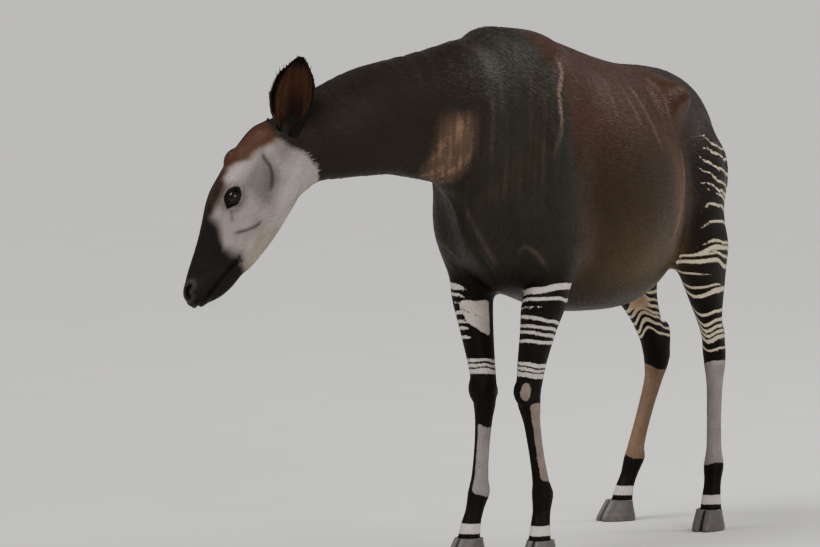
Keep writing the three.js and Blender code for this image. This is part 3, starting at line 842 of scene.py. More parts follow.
class Ear:
    """One ear's surface: outer and inner side by (share of the length, angle across)."""

    def __init__(self, s):
        mirror = np.array([s, 1, 1])
        self.root = on_head(EAR_ROOT * mirror)
        self.along = unit(on_head(EAR_TIP * mirror) - self.root)
        opening = head_turn(EAR_OPENS * mirror)
        self.across = unit(np.cross(self.along, opening))
        self.open = np.cross(self.across, self.along)
        self.inward = head_turn(np.array([-s, 0.0, -0.2]))
        self.rows = through_rows(EAR_ROWS, EAR_STEPS)

    def at(self, row, angle, out):
        """Points on a row (a number of rows) at an angle (−1 to 1), moved out by some millimetres."""
        k = np.clip(row, 0, len(self.rows) - 1)
        share, radius, degrees, bow = (
            np.interp(k, np.arange(len(self.rows)), self.rows[:, i]) for i in range(4)
        )
        a = np.radians(degrees) * angle
        ripple = 1.2 * np.sin(9 * a + 20 * share) * smooth(0.5, 1.0, np.abs(angle))
        ridge = 1.4 * np.cos(a * 14) * smooth(0.3, 0.7, share) * smooth(1.0, 0.6, np.abs(angle))
        r = np.maximum(radius + out + (ripple + ridge) * smooth(0.1, 0.3, share) * smooth(1, 0.9, share), 0.6)
        middle = self.root + self.along * (share * EAR_LENGTH)[:, None]
        middle = middle + self.open * (radius - 25 - bow)[:, None]
        middle = middle + self.inward * (EAR_SINK * smooth(0.07, -0.16, share))[:, None]
        return middle - self.open * (r * np.cos(a))[:, None] + self.across * (r * np.sin(a))[:, None]

    def surface(self):
        """Vertices, faces, and for each vertex [share, angle, inner side]."""
        angle = np.linspace(-1, 1, EAR_ACROSS + 1)
        ring_angle = np.concatenate([angle, angle[::-1]])
        inner = np.repeat([0.0, 1.0], EAR_ACROSS + 1)
        count = len(ring_angle)
        rows = np.arange(len(self.rows), dtype=float)
        row = np.repeat(rows, count)
        a = np.tile(ring_angle, len(rows))
        side = np.tile(inner, len(rows))
        edge = smooth(1.0, 0.9, np.abs(a))
        thick = EAR_HALF_THICK * (0.45 + 0.55 * edge)
        vertices = self.at(row, a, np.where(side > 0.5, -thick, thick))
        faces = capped_faces(len(rows), count)
        share = np.interp(row, rows, self.rows[:, 0])
        return vertices, faces, np.stack([share, a, side], axis=1)


def grid_faces(rows, columns, ring=False):
    """Faces of a grid whose rows are closed. In a ring the last row also meets the first."""
    faces = []
    for i in range(rows if ring else rows - 1):
        low = i * columns
        high = (i + 1) % rows * columns
        for j in range(columns):
            k = (j + 1) % columns
            faces.append((low + j, low + k, high + k, high + j))
    return faces


def capped_faces(rows, columns):
    """Faces of a grid with a cap over its last row and its first."""
    last = (rows - 1) * columns
    caps = [tuple(range(last, last + columns)), tuple(range(columns))[::-1]]
    return grid_faces(rows, columns) + caps


def new_mesh(name, vertices, faces):
    """A closed mesh whose faces point outwards."""
    vertices = np.asarray(vertices, float)
    volume = 0.0
    for face in faces:
        for k in range(1, len(face) - 1):
            a, b, c = vertices[face[0]], vertices[face[k]], vertices[face[k + 1]]
            volume += a[0] * (b[1] * c[2] - b[2] * c[1])
            volume += a[1] * (b[2] * c[0] - b[0] * c[2])
            volume += a[2] * (b[0] * c[1] - b[1] * c[0])
    if volume < 0:
        faces = [face[::-1] for face in faces]
    mesh = bpy.data.meshes.new(name)
    mesh.from_pydata([tuple(v) for v in vertices], [], [tuple(f) for f in faces])
    mesh.polygons.foreach_set("use_smooth", np.ones(len(faces), bool))
    mesh.update()
    return mesh


ears = {s: Ear(s) for s in (1, -1)}
ear_marks = {}
merged = bmesh.new()
set_points(skin.data, to_row(points))
merged.from_mesh(skin.data)
for s, ear in ears.items():
    vertices, faces, ear_marks[s] = ear.surface()
    merged.from_mesh(new_mesh("ear", to_row(vertices), faces))
merged.normal_update()
merged.to_mesh(skin.data)
merged.free()
skin.data.polygons.foreach_set("use_smooth", np.ones(len(skin.data.polygons), bool))


# Colours, as seen on a screen, turned into light
def colour(*rgb):
    c = np.array(rgb, float) / 255
    return np.where(c <= 0.04045, c / 12.92, ((c + 0.055) / 1.055) ** 2.4)


COAT_BACK = colour(56, 33, 21)
COAT_FLANK = colour(45, 33, 21)
COAT_SHOULDER = colour(37, 35, 29)
COAT_NECK = colour(33, 28, 24)
COAT_RUMP = colour(38, 30, 28)
COAT_BLACK = colour(13, 10, 9)
# painted highlight, for the folds of the skin
FOLD_HIGHLIGHT = colour(138, 116, 104)
NECK_STREAK = colour(118, 92, 76)
# painted highlight, for the rear edge of the belly
BELLY_RIM_HIGHLIGHT = colour(104, 72, 52)
GROIN = colour(86, 68, 36)
FACE_PALE = colour(150, 140, 136)
FACE_SHADE = colour(80, 75, 73)
FOREHEAD = colour(70, 44, 33)
FOREHEAD_DARK = colour(15, 10, 7)
MUZZLE = colour(23, 21, 21)
LIPS = colour(14, 12, 12)
JAW_BAND = colour(134, 125, 108)
EAR_BLACK = colour(14, 12, 11)
EAR_INSIDE = colour(62, 37, 26)
# painted shade, for the hollow of the ear
EAR_HOLLOW_SHADE = colour(26, 15, 10)
EAR_HAIR = colour(100, 70, 50)
EAR_FRINGE = colour(64, 56, 50)


def mix(base, other, weight):
    w = np.reshape(np.clip(weight, 0, 1), (-1, 1))
    return base * (1 - w) + np.asarray(other) * w


def bump_at(p, at, radius):
    return np.exp(-(np.linalg.norm((p - np.array(at)) / np.array(radius), axis=1) ** 2))


def waves(p, scale, seed=0.0):
    """Soft uneven variation from -1 to 1, from a few crossed waves."""
    q = p / scale
    a = np.sin(q @ (1.0, 0.6, 0.3) + seed) + np.sin(q @ (-0.5, 0.9, 0.7) + 2.1 * seed + 1.3)
    b = np.sin(q @ (0.3, -0.4, 1.3) + 0.7 * seed + 4.0) + np.sin(q @ (1.7, 1.1, -0.9) - seed)
    return (a + b) / 4


# Stripes of the legs, all in millimetres. Each row has the height of its middle and its half width
# at six directions round the leg: 0 front, 60, 120 outer side, 180 back, 240, 300 inner side.
# A half width below zero is a stripe that has run out.
def even(half):
    return [half] * 6


HAUNCH = [
    ([1216, 1206, 1180, 1158, 1150, 1200], [-7, 1.5, 3.4, 3.2, -4, -7]),
    ([1178, 1170, 1151, 1125, 1120, 1150], [-7, 1, 3.2, 3.4, -4, -7]),
    ([1170, 1128, 1106, 1080, 1080, 1120], [-4, 2.6, 3.6, 3.6, -3, -7]),
    ([1130, 1096, 1066, 1035, 1040, 1090], [-3, 2.6, 3.6, 4, -3, -7]),
    ([1075, 1063, 1038, 1008, 1010, 1050], [-5, 2, 3.2, 3.6, -3, -7]),
    ([1050, 1045, 1024, 988, 990, 1020], [-8, -2, 3, 3.5, -3, -7]),
    ([950, 1002, 994, 950, 950, 950], [-5, 3.2, 4, 4, -2, -7]),
    ([915, 948, 945, 915, 915, 915], [-3, 3.6, 4, 4, -1, -7]),
    ([868, 893, 880, 868, 868, 868], [-2, 4, 4, 4, 0, -6]),
    ([848, 872, 865, 842, 840, 842], [2, 7, 6, 5, 2, -2]),
    ([848, 856, 838, 812, 812, 830], [3, 3.5, 4, 4, 2, 0]),
    ([830, 834, 808, 785, 790, 815], [5, 6, 6, 6, 4, 4]),
    ([793, 788, 790, 790, 790, 810], [2.6, -1, -5, -4, -2, 3]),
    ([748, 756, 750, 745, 745, 785], [3.5, 3, -2, 2, 3, 5]),
    ([719, 737, 740, 735, 735, 765], [5, 8, 7, 6, 6, 8]),
]
HIND_SHANK = [
    ([659, 672, 676, 668, 670, 700], even(4.2)),
    ([627, 645, 648, 640, 640, 672], even(4.6)),
    ([609, 626, 628, 620, 618, 650], even(4.6)),
    ([593, 609, 611, 604, 600, 625], even(4.4)),
    ([576, 592, 594, 588, 580, 600], even(6)),
    ([547, 556, 556, 548, 545, 565], even(3)),
]
HIND_SHANK_RIGHT = [
    ([712, 728, 728, 715, 712, 745], [3, 7, 7, 6, 4, 20]),
    ([682, 690, 692, 680, 690, 712], [4, 5, 5, 4, 4, 24]),
    ([652, 655, 650, 655, 668, 690], [4, 5, 5, 4, 5, 16]),
    ([634, 630, 626, 634, 646, 668], [4, 4, 4, 4, 4, 8]),
    ([611, 604, 600, 614, 633, 650], [4, 4, 4, 4, 4.5, 5]),
    ([584, 575, 574, 590, 610, 627], [5, 4, 4, 4, 4, 7]),
    ([568, 560, 560, 568, 580, 600], [4, 4, 4, 4, 4, 4]),
]
FORE_STRIPES = [
    ([792, 802, 800, 795, 785, 778], [9, 9, 8, 7, 6, 9]),
    ([769, 770, 760, 750, 745, 750], even(4.6)),
    ([745, 752, 750, 740, 735, 732], [2, -5, -8, -8, -3, 3]),
    ([716, 703, 694, 690, 700, 714], [5, 4.6, 4, 3, 3, 4.5]),
    ([690, 682, 672, 670, 675, 686], even(4.6)),
    ([671, 662, 655, 652, 655, 668], even(4.6)),
    ([645, 640, 638, 636, 636, 642], even(4.4)),
]
FORE_STRIPES_RIGHT = [(z, half[:4] + [-3, -8]) for z, half in FORE_STRIPES]
KNEE_BAND = [([562, 556, 556, 556, 558, 562], even(21))]
KNEE_LINES = [
    ([571, 563, 563, 565, 566, 573], [2.6, 3.2, 2.6, 2.2, 2.8, 3.4]),
    ([556, 551, 550, 551, 552, 560], [2.8, 2.2, 2.8, 2.2, 2.8, 2.6]),
]
PATTERN = {
    # stripes, top and bottom of the pale cannon, dark strip along it from one angle to another
    "foreleg_left": (FORE_STRIPES + KNEE_BAND, 452, 228, (-74, 34)),
    "foreleg_right": (FORE_STRIPES_RIGHT + KNEE_BAND, 392, 190, (-6, 84)),
    "hindleg_left": (HAUNCH + HIND_SHANK, 508, 198, (150, 205)),
    "hindleg_right": (HAUNCH[:13] + HIND_SHANK_RIGHT, 476, 196, (150, 205)),
}
DARK_LINES = {"foreleg_left": KNEE_LINES, "foreleg_right": KNEE_LINES}
CORONET_BAND = (78, 106)
# a fine dark line through the pale patch of the right foreleg
PATCH_CRACK = ([728, 700, 700, 700, 690, 706], [2, -4, -9, -9, -6, 1.2])


def round_leg(values, angle):
    """Six values round the leg, read smoothly at an angle in degrees."""
    values = np.asarray(values, float)
    k = (angle % 360) / 60
    i = np.floor(k).astype(int) % 6
    t = k - np.floor(k)
    t = t * t * (3 - 2 * t)
    return values[i] * (1 - t) + values[(i + 1) % 6] * t


def rounded(*depths, corner=12.0):
    """The smallest of several depths inside an outline, with its corners rounded off."""
    short = [np.maximum(corner - depth, 0.0) for depth in depths]
    return corner - np.sqrt(sum(value**2 for value in short))


def leg_angle(leg, p):
    rows = leg.rows[::-1]
    x = np.interp(p[:, 2], rows[:, 2], rows[:, 0])
    y = np.interp(p[:, 2], rows[:, 2], rows[:, 1])
    away = p - np.stack([x, y, p[:, 2]], axis=1)
    outer = 1 if leg.name.endswith("left") else -1
    return np.degrees(np.arctan2(outer * (away @ leg.left), away @ leg.front)) % 360


def between(angle, low, high):
    """How far inside an arc each angle is, in degrees, negative outside."""
    middle = (low + high) / 2
    off = np.abs((angle - middle + 180) % 360 - 180)
    return (high - low) / 2 - off


def leg_pale(leg, p):
    """Signed millimetres inside the pale parts of a leg."""
    stripes, top, bottom, strip = PATTERN[leg.name]
    angle = leg_angle(leg, p)
    z = p[:, 2] + 0.8 * waves(p, 14.0, len(leg.name)) + 2.0 * waves(p, 45.0, len(leg.name))
    pale = np.full(len(p), -30.0)
    for middle, half in stripes:
        pale = np.maximum(pale, round_leg(half, angle) - np.abs(z - round_leg(middle, angle)))
    for middle, half in DARK_LINES.get(leg.name, []):
        pale = np.minimum(pale, np.abs(z - round_leg(middle, angle)) - round_leg(half, angle))
    slant = 12 * np.cos(np.radians(angle - 60)) + 5 * waves(p, 16.0, 9.0)
    beside_strip = -between(angle, *strip) * 0.5 + 1.5 * waves(p, 12.0, 5.0)
    cannon = rounded(top + slant - z, z - bottom - 0.6 * slant, beside_strip)
    pale = np.maximum(pale, cannon)
    pale = np.maximum(pale, np.minimum(z - CORONET_BAND[0], CORONET_BAND[1] - z))
    off_leg = np.maximum(leg.field(p) - 10.0, 0.0) * smooth(960, 900, p[:, 2])
    return pale - off_leg


def is_leg(leg, p):
    """Where a leg's pattern holds, on its own side of the body."""
    side = p[:, 0] * (1 if leg.name.endswith("left") else -1)
    if leg.name.startswith("hind"):
        return (p[:, 1] > 260) & (side > 0) & (p[:, 2] < 1250)
    return (p[:, 1] < -300) & (p[:, 1] > -720) & (side > 0) & (p[:, 2] < 830)


def line_weight(p, fold, width):
    """How near each point is to the line of one fold, from 0 to 1."""
    line, _, _, both = FOLDS[fold]
    line = through_rows(line, 3)
    best = np.full(len(p), 1e3)
    fade = np.zeros(len(p))
    for s in (1, -1) if both else (1,):
        q = p * np.array([s, 1, 1])
        near = np.all((q > line.min(0) - 40) & (q < line.max(0) + 40), axis=1)
        if near.any():
            d, weight = line_distance(q[near], line)
            closer = d < best[near]
            index = np.nonzero(near)[0][closer]
            best[index] = d[closer]
            fade[index] = weight[closer]
    return fade * np.exp(-((best / width) ** 2))


def body_colour(p):
    x, y, z = p.T
    uneven = 0.5 + 0.5 * waves(p, 70.0, 3.0)
    c = mix(np.tile(COAT_FLANK, (len(p), 1)), COAT_BACK, smooth(1120, 1330, z + 40 * uneven))
    c = mix(c, COAT_BLACK, 0.8 * smooth(850, 700, z) * smooth(-560, -300, y))
    c = mix(c, COAT_RUMP, smooth(250, 400, y))
    front = smooth(-400, -500, y + 0.10 * (z - 1200))
    c = mix(c, COAT_SHOULDER, front)
    c = mix(c, COAT_NECK, smooth(-690, -800, y))
    c = mix(c, COAT_BLACK, 0.6 * smooth(-640, -560, y) * smooth(-330, -430, y) * smooth(930, 800, z))
    under = smooth(280, 330, y) * smooth(1250, 1100, z)
    c = mix(c, COAT_BLACK, 0.9 * under)
    c = mix(c, COAT_BLACK, smooth(860, 800, z) * smooth(-330, -400, y))
    c = mix(c, COAT_BLACK, smooth(800, 700, z) * (np.abs(y) > 330))
    # crest of the back
    crest = smooth(38, 10, np.abs(x)) * smooth(1330, 1400, z) * smooth(-700, -560, y)
    c = mix(c, COAT_BLACK, 0.5 * crest)
    # painted highlight along the folds of the skin, where they catch the light
    c = mix(c, FOLD_HIGHLIGHT, 0.85 * line_weight(p, 0, 5.5) * smooth(1130, 1380, z))
    for fold, strength in ((2, 0.3), (3, 0.2), (6, 0.25), (8, 0.3), (17, 0.2), (20, 0.15)):
        c = mix(c, FOLD_HIGHLIGHT, strength * line_weight(p, fold, 7.0))
    streaks = np.maximum(waves(p * (1.0, 1.0, 0.10), 5.0, 8.0), 0) * 1.5
    neck_base = smooth(-940, -880, y) * smooth(-775, -830, y) * smooth(1330, 1260, z) * smooth(1090, 1120, z)
    c = mix(c, NECK_STREAK, neck_base * (0.4 + 0.6 * streaks) * smooth(-50, -20, x))
    streaks = np.maximum(waves(p * (1.0, 1.0, 0.08), 7.0, 2.0), 0)
    shoulder = smooth(-900, -700, y) * smooth(-480, -600, y) * smooth(980, 1150, z)
    c = mix(c, NECK_STREAK, 0.14 * streaks * shoulder)
    q = np.stack([np.abs(x), y, z], axis=1)
    # painted highlight along the rear edge of the belly and the fold to the stifle
    rim = np.maximum(line_weight(p, 8, 16.0), bump_at(q, (222, 150, 1040), (26, 60, 150)))
    c = mix(c, BELLY_RIM_HIGHLIGHT, 0.55 * rim)
    c = mix(c, GROIN, 0.6 * bump_at(q, (150, 262, 815), (60, 60, 60)))
    c = mix(c, GROIN, 0.3 * bump_at(q, (220, -40, 830), (120, 230, 120)))
    # pale underside of the groin
    c = mix(c, BAND_INNER, 0.6 * bump_at(p, (0, 400, 800), (60, 130, 60)))
    return c


NECK_EDGE = (
    [-150, -137, -128, -117, -75, -24, 23, 60, 110],
    [30, 0, -16, -27, -43, -42, -46, -64, -68],
)
FOREHEAD_EDGE = (
    [-60, -30, 0, 20, 49, 70, 92, 122, 151, 194, 222, 260],
    [4, 16, 36, 46, 53, 74, 84, 86, 78, 70, 66, 84],
)
MUZZLE_EDGE = (
    [-110, -90, -74, -55, -31, -5, 3, 28, 60, 77, 90],
    [342, 322, 300, 286, 292, 288, 274, 250, 234, 226, 218],
)


# Folds of the head that hold a shadow, and how dark each is
HEAD_LINES = [(0, 0.75), (2, 0.95), (4, 0.5), (5, 0.5), (6, 0.4), (9, 0.8)]


def head_colour(h):
    x, f, u = h.T
    p = h + 7.0 * waves(h, 15.0, 1.0)[:, None]
    side = np.abs(x)
    c = np.tile(FACE_PALE, (len(h), 1))
    # painted shade on the pale face: at its lower rear, and between the eye and the groove behind it
    shade = 0.5 + 0.5 * waves(h, 26.0, 5.0)
    c = mix(c, FACE_SHADE, 0.6 * shade * smooth(60, -10, f) * smooth(-90, -20, u))
    behind_eye = smooth(150, 105, f) * smooth(10, 60, f) * smooth(-80, -20, u) * smooth(66, 16, u)
    c = mix(c, FACE_SHADE, 0.75 * behind_eye)
    c = mix(c, FACE_SHADE, 0.35 * shade * smooth(150, 200, f))
    # painted shade on the cheek, and in a ring round the eye
    c = mix(c, FACE_SHADE, 0.5 * bump_at(h[:, 1:], (112, -42), (46, 30)))
    eye = np.minimum(np.linalg.norm(h - EYE_AT, axis=1), np.linalg.norm(h * MIRROR - EYE_AT, axis=1))
    c = mix(c, FACE_SHADE, 0.5 * np.exp(-(((eye - 38) / 9) ** 2)))
    for fold, strength in HEAD_LINES:
        line, width, _ = HEAD_FOLDS[fold]
        d, weight = line_distance(h[:, 1:], through_rows(line, 3))
        dark = weight * smooth(10, 25, side)
        c = mix(c, FACE_SHADE, 0.5 * strength * dark * np.exp(-((d / (width * 2.4)) ** 2)))
        c = mix(c, FACE_SHADE * 0.35, strength * dark * np.exp(-((d / (width * 0.75)) ** 2)))
    brown = smooth(-14, 15, p[:, 2] - np.interp(p[:, 1], *FOREHEAD_EDGE))
    c = mix(c, FOREHEAD, brown)
    c = mix(c, FOREHEAD_DARK, brown * smooth(36, 8, side) * (0.55 + 0.45 * smooth(90, 190, f)))
    c = mix(c, FOREHEAD_DARK, brown * smooth(96, 150, f) * 0.7)
    band = smooth(-64, -84, u + 0.12 * (f - 250)) * smooth(150, 230, p[:, 1])
    c = mix(c, JAW_BAND, 0.75 * band)
    dark = smooth(-22, 26, p[:, 1] - np.interp(p[:, 2], *MUZZLE_EDGE))
    c = mix(c, MUZZLE, dark)
    d, _ = line_distance(h[:, 1:], MOUTH)
    c = mix(c, LIPS, smooth(12, 5, d) * smooth(290, 310, f))
    c = mix(c, LIPS, smooth(446, 462, f))
    d, _ = line_distance(h[:, 1:], NOSTRIL)
    c = mix(c, COAT_BLACK * 0.3, smooth(5.0, 3.0, d) * (side > 8))
    c = mix(c, FACE_SHADE, 0.35 * np.exp(-((d - 12) / 5) ** 2) * (side > 10))
    opening = np.full(len(h), 1e3)
    for s in (1, -1):
        e = h * np.array([s, 1, 1]) - EYE_AT
        value = opening_value(e) - 5.0 * smooth(8, 24, e[:, 1]) * smooth(12, -6, np.abs(e[:, 2] + 4))
        opening = np.minimum(opening, np.where(e[:, 0] > -5, value, 1e3))
    return mix(c, LIPS * 0.6, smooth(9.5, 5.5, opening))


def hide(p):
    h = in_head(p)
    c = body_colour(p)
    edge = np.interp(h[:, 2], *NECK_EDGE) + 5 * waves(p, 22.0, 6.0)
    on_head_part = smooth(-9, 9, h[:, 1] - edge) * (np.linalg.norm(h, axis=1) < 560) * (p[:, 1] < -1000)
    near = on_head_part > 0
    head_c = np.zeros_like(c)
    head_c[near] = head_colour(h[near])
    c = mix(c, 0, on_head_part) + head_c * on_head_part[:, None]
    return c * (1 + 0.10 * waves(p, 11.0, 2.0) + 0.08 * waves(p, 38.0, 7.0))[:, None]


STRIPE_CREAM = colour(196, 182, 158)
STRIPE_WHITE = colour(188, 180, 172)
CANNON_TAN = colour(122, 109, 100)
CANNON_GREY = colour(128, 121, 119)
CANNON_BROWN = colour(114, 92, 75)
BAND_INNER = colour(182, 170, 162)
INNER_TAN = colour(150, 124, 100)
CANNON = {
    "foreleg_left": CANNON_TAN,
    "foreleg_right": CANNON_GREY,
    "hindleg_left": CANNON_GREY,
    "hindleg_right": CANNON_BROWN,
}


def markings(p):
    """Signed millimetres inside the pale markings of the legs, and the colour of those markings."""
    pale = np.full(len(p), -30.0)
    band = np.tile(STRIPE_CREAM, (len(p), 1))
    for leg in legs.values():
        here = np.nonzero(is_leg(leg, p))[0]
        q = p[here]
        # the tail has no stripes
        value = leg_pale(leg, q) - 40 * smooth(9, 3, tail(q))
        c = np.tile(STRIPE_CREAM if leg.name.startswith("hind") else STRIPE_WHITE, (len(q), 1))
        c = mix(c, CANNON[leg.name], smooth(540, 500, q[:, 2]))
        c = mix(c, STRIPE_WHITE, smooth(130, 100, q[:, 2]))
        angle = leg_angle(leg, q)
        # painted shade: the pale markings browner at the back of the lower leg
        c = mix(c, COAT_FLANK, 0.3 * smooth(80, 20, np.abs(angle - 180)) * smooth(540, 500, q[:, 2]))
        if leg.name == "foreleg_left":
            # oval spot on the knee
            spot = 15 * (1 - np.hypot((angle - 18) / 20, (q[:, 2] - 498) / 26))
            c = mix(c, CANNON_TAN, spot > -6)
            value = np.maximum(value, spot)
        if leg.name == "foreleg_right":
            # pale patch above the knee, on the inner side
            lower = np.interp(angle, [265, 300, 332, 352], [648, 662, 684, 715])
            edge = 3 * waves(q, 14.0, 3.0)
            patch = rounded(752 - q[:, 2] + edge, q[:, 2] - lower + edge, between(angle, 252, 354) * 0.7)
            c = mix(c, BAND_INNER, patch > -4)
            value = np.maximum(value, patch)
            crack = np.abs(q[:, 2] - round_leg(PATCH_CRACK[0], angle)) - round_leg(PATCH_CRACK[1], angle)
            value = np.minimum(value, crack)
        if leg.name == "hindleg_right":
            # pale patch on the inner side of the thigh
            turned = np.abs((angle - 305 + 180) % 360 - 180)
            patch = 28 * (1 - np.hypot(turned / 38, (q[:, 2] - 742) / 52))
            c = mix(c, INNER_TAN, smooth(600, 690, q[:, 2]) * smooth(60, 30, turned))
            value = np.maximum(value, patch)
        better = value > pale[here]
        pale[here[better]] = value[better]
        band[here[better]] = c[better]
    band = band * (1 + 0.12 * waves(p, 13.0, 4.0))[:, None]
    return np.clip(pale, -30, 30), band


# Lie of the coat
trunk_field = joined(trunk, *swellings)
REGIONS = ["trunk", "neck", "head", *legs, "tail"]


def region_values(p):
    fields = [trunk_field, neck, head, *(leg.field for leg in legs.values()), tail]
    return np.stack([np.clip(field(p), -60, 300) for field in fields], axis=1)


def lies(p):
    """For each region, the direction that its hair points in."""
    _, y, z = p.T
    n = len(p)
    down = smooth(-420, -620, y)
    trunk_lie = np.stack([np.zeros(n), 1.0 - 0.55 * down, -0.42 - 0.75 * down], axis=1)
    trunk_lie[:, 2] += 0.3 * smooth(900, 760, z)
    i = neck.nearest(p)[1]
    neck_lie = -neck.along[i] + np.array([0, 0, -0.30])
    h = in_head(p)
    head_lie = head_turn(np.stack([np.zeros(n), -np.ones(n), -0.45 * smooth(40, -20, h[:, 2])], axis=1))
    out = [trunk_lie, neck_lie, head_lie]
    out += [np.tile((0.0, 0.14, -1.0), (n, 1))] * 4
    out.append(tail.along[tail.nearest(p)[1]])
    return np.stack([unit(v) for v in out], axis=1)


def coat_lie(p):
    """The direction of the hair, blended between regions, and the region of each point."""
    values = region_values(p)
    weight = np.exp(-(values - values.min(axis=1, keepdims=True)) / 22.0)
    weight /= weight.sum(axis=1, keepdims=True)
    directions = lies(p)
    lie = unit(np.einsum("ij,ijk->ik", weight, directions))
    return lie, values.argmin(axis=1)


# Colour, markings and comb of the skin as attributes
def set_colour(mesh, name, values):
    layer = mesh.attributes.new(name, "FLOAT_COLOR", "POINT")
    rgba = np.ones((len(values), 4), np.float32)
    rgba[:, :3] = np.clip(values, 0, 1)
    layer.data.foreach_set("color", rgba.ravel())


def set_number(mesh, name, values):
    layer = mesh.attributes.new(name, "FLOAT", "POINT")
    layer.data.foreach_set("value", np.asarray(values, np.float32))


def set_vector(mesh, name, values):
    layer = mesh.attributes.new(name, "FLOAT_VECTOR", "POINT")
    layer.data.foreach_set("vector", np.asarray(values, np.float32).ravel())


def ear_colour(marks):
    share, angle, inner = marks.T
    edge = np.abs(angle)
    # painted shade deep in the hollow of the ear's cup
    hollow_shade = smooth(0.62, 0.1, edge) * smooth(0.75, 0.3, share)
    inside = mix(np.tile(EAR_INSIDE, (len(share), 1)), EAR_HOLLOW_SHADE, hollow_shade)
    streak = 0.5 + 0.5 * np.sin(angle * 21 + 5 * share)
    inside = mix(inside, EAR_HAIR, 0.4 * streak * smooth(0.1, 0.5, edge) * smooth(0.8, 0.55, share))
    rim = np.where(angle * EAR_FRONT > 0, smooth(0.60, 0.78, edge), smooth(0.84, 0.96, edge))
    inside = mix(inside, EAR_BLACK, smooth(0.80, 0.93, share) + rim)
    outside = np.tile(EAR_BLACK, (len(share), 1))
    outside = mix(outside, FOREHEAD_DARK, 0.5 * smooth(0.35, 0.1, share))
    return mix(outside, 0, inner) + inside * inner[:, None]


all_points = points_of(skin.data) / MM + BOX_CENTRE
body_count = len(points)
skin_colour = hide(points)
skin_pale, skin_band = markings(points)
skin_lie, _ = coat_lie(points)
combed = [points - 0.92 * np.einsum("ij,ij->i", points, skin_lie)[:, None] * skin_lie]
for s, ear in ears.items():
    marks = ear_marks[s]
    skin_colour = np.concatenate([skin_colour, ear_colour(marks)])
    first = body_count if s > 0 else body_count + len(marks)
    q = all_points[first : first + len(marks)]
    combed.append(q - 0.92 * (q @ ear.along)[:, None] * ear.along)
ear_count = len(all_points) - body_count
set_colour(skin.data, "hide", skin_colour)
set_colour(skin.data, "band", np.concatenate([skin_band, np.zeros((ear_count, 3))]))
set_number(skin.data, "pale", np.concatenate([skin_pale, np.full(ear_count, -30.0)]))
set_vector(skin.data, "comb", np.concatenate(combed))


def add_piece(name, mesh, material, replaced=()):
    mesh.materials.append(material)
    piece = bpy.data.objects.new(name, mesh)
    bpy.context.scene.collection.objects.link(piece)
    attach(piece, "root")
    if replaced:
        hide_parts(*replaced)
    return piece


# Tufts: thin closed blades that lie along the skin. Ring of four over a sunk point, then the tip
TUFT_ALONG = np.array([0.0, 0.0, 0.5, 0.5, 1.0, 0.3])
TUFT_ACROSS = np.array([-0.8, 0.8, -1.0, 1.0, 0.0, 0.0])
TUFT_SHADE = np.array([0.80, 0.80, 1.0, 1.0, 1.12, 0.8])
TUFT_FACES = np.array(
    [(0, 2, 3), (0, 3, 1), (2, 4, 3), (2, 0, 5), (4, 2, 5), (3, 4, 5), (1, 3, 5), (0, 1, 5)]
)
PATCH = 0.003
MOST_TUFTS = 24500


def tufts(name, root, normal, lie, size, tint, uv, material):
    """One coat piece. size holds each tuft's [length, half width, lift of the middle, lift of the tip]."""
    n = len(root)
    length, half, mid, tip = (size[:, k, None] for k in range(4))
    lie = unit(lie - np.einsum("ij,ij->i", lie, normal)[:, None] * normal)
    across = np.cross(normal, lie)
    turn = random.normal(0, 0.13, n)[:, None]
    lie, across = lie * np.cos(turn) + across * np.sin(turn), across * np.cos(turn) - lie * np.sin(turn)
    sway = random.normal(0, 0.10, n)[:, None]
    lift = np.concatenate([-0.5 + 0 * mid, -0.5 + 0 * mid, mid, mid, tip, -0.9 + 0 * mid], axis=1)
    at = root[:, None, :] + lie[:, None, :] * (TUFT_ALONG[None, :, None] * length[:, :, None])
    at = at + across[:, None, :] * (TUFT_ACROSS[None, :, None] * half[:, :, None])
    at = at + across[:, None, :] * ((TUFT_ALONG**2)[None, :, None] * (sway * length)[:, :, None])
    at = at + normal[:, None, :] * lift[:, :, None]
    shine = normal + random.normal(0, 0.045, (n, 3))
    facing = shine[:, None, :] + across[:, None, :] * (0.28 * TUFT_ACROSS)[None, :, None]
    facing = facing + lie[:, None, :] * (0.15 * TUFT_ALONG - 0.05)[None, :, None]
    facing[:, 5] = -normal
    shade = TUFT_SHADE[None, :] * (1 + random.normal(0, 0.10, n))[:, None]
    tints = tint[:, None, :] * shade[:, :, None]
    patch = np.stack([TUFT_ALONG - 0.5, TUFT_ACROSS / 2], axis=1) * PATCH
    uvs = uv[:, None, :] + patch[None]
    faces = (np.arange(n)[:, None, None] * 6 + TUFT_FACES[None]).reshape(-1, 3)

    mesh = bpy.data.meshes.new(name)
    mesh.vertices.add(n * 6)
    mesh.loops.add(len(faces) * 3)
    mesh.polygons.add(len(faces))
    mesh.vertices.foreach_set("co", to_row(at.reshape(-1, 3)).astype(np.float32).ravel())
    mesh.loops.foreach_set("vertex_index", faces.astype(np.int32).ravel())
    mesh.polygons.foreach_set("loop_start", np.arange(0, len(faces) * 3, 3, dtype=np.int32))
    mesh.polygons.foreach_set("use_smooth", np.ones(len(faces), bool))
    mesh.update(calc_edges=True)
    layer = mesh.uv_layers.new(name="OFBake")
    layer.data.foreach_set("uv", uvs.reshape(-1, 2)[faces.ravel()].astype(np.float32).ravel())
    set_colour(mesh, "hide", tints.reshape(-1, 3))
    mesh.normals_split_custom_set_from_vertices(unit(facing).reshape(-1, 3))
    return add_piece(name, mesh, material)


# Materials
WARM_GLOSS = (1.0, 0.86, 0.74, 1.0)


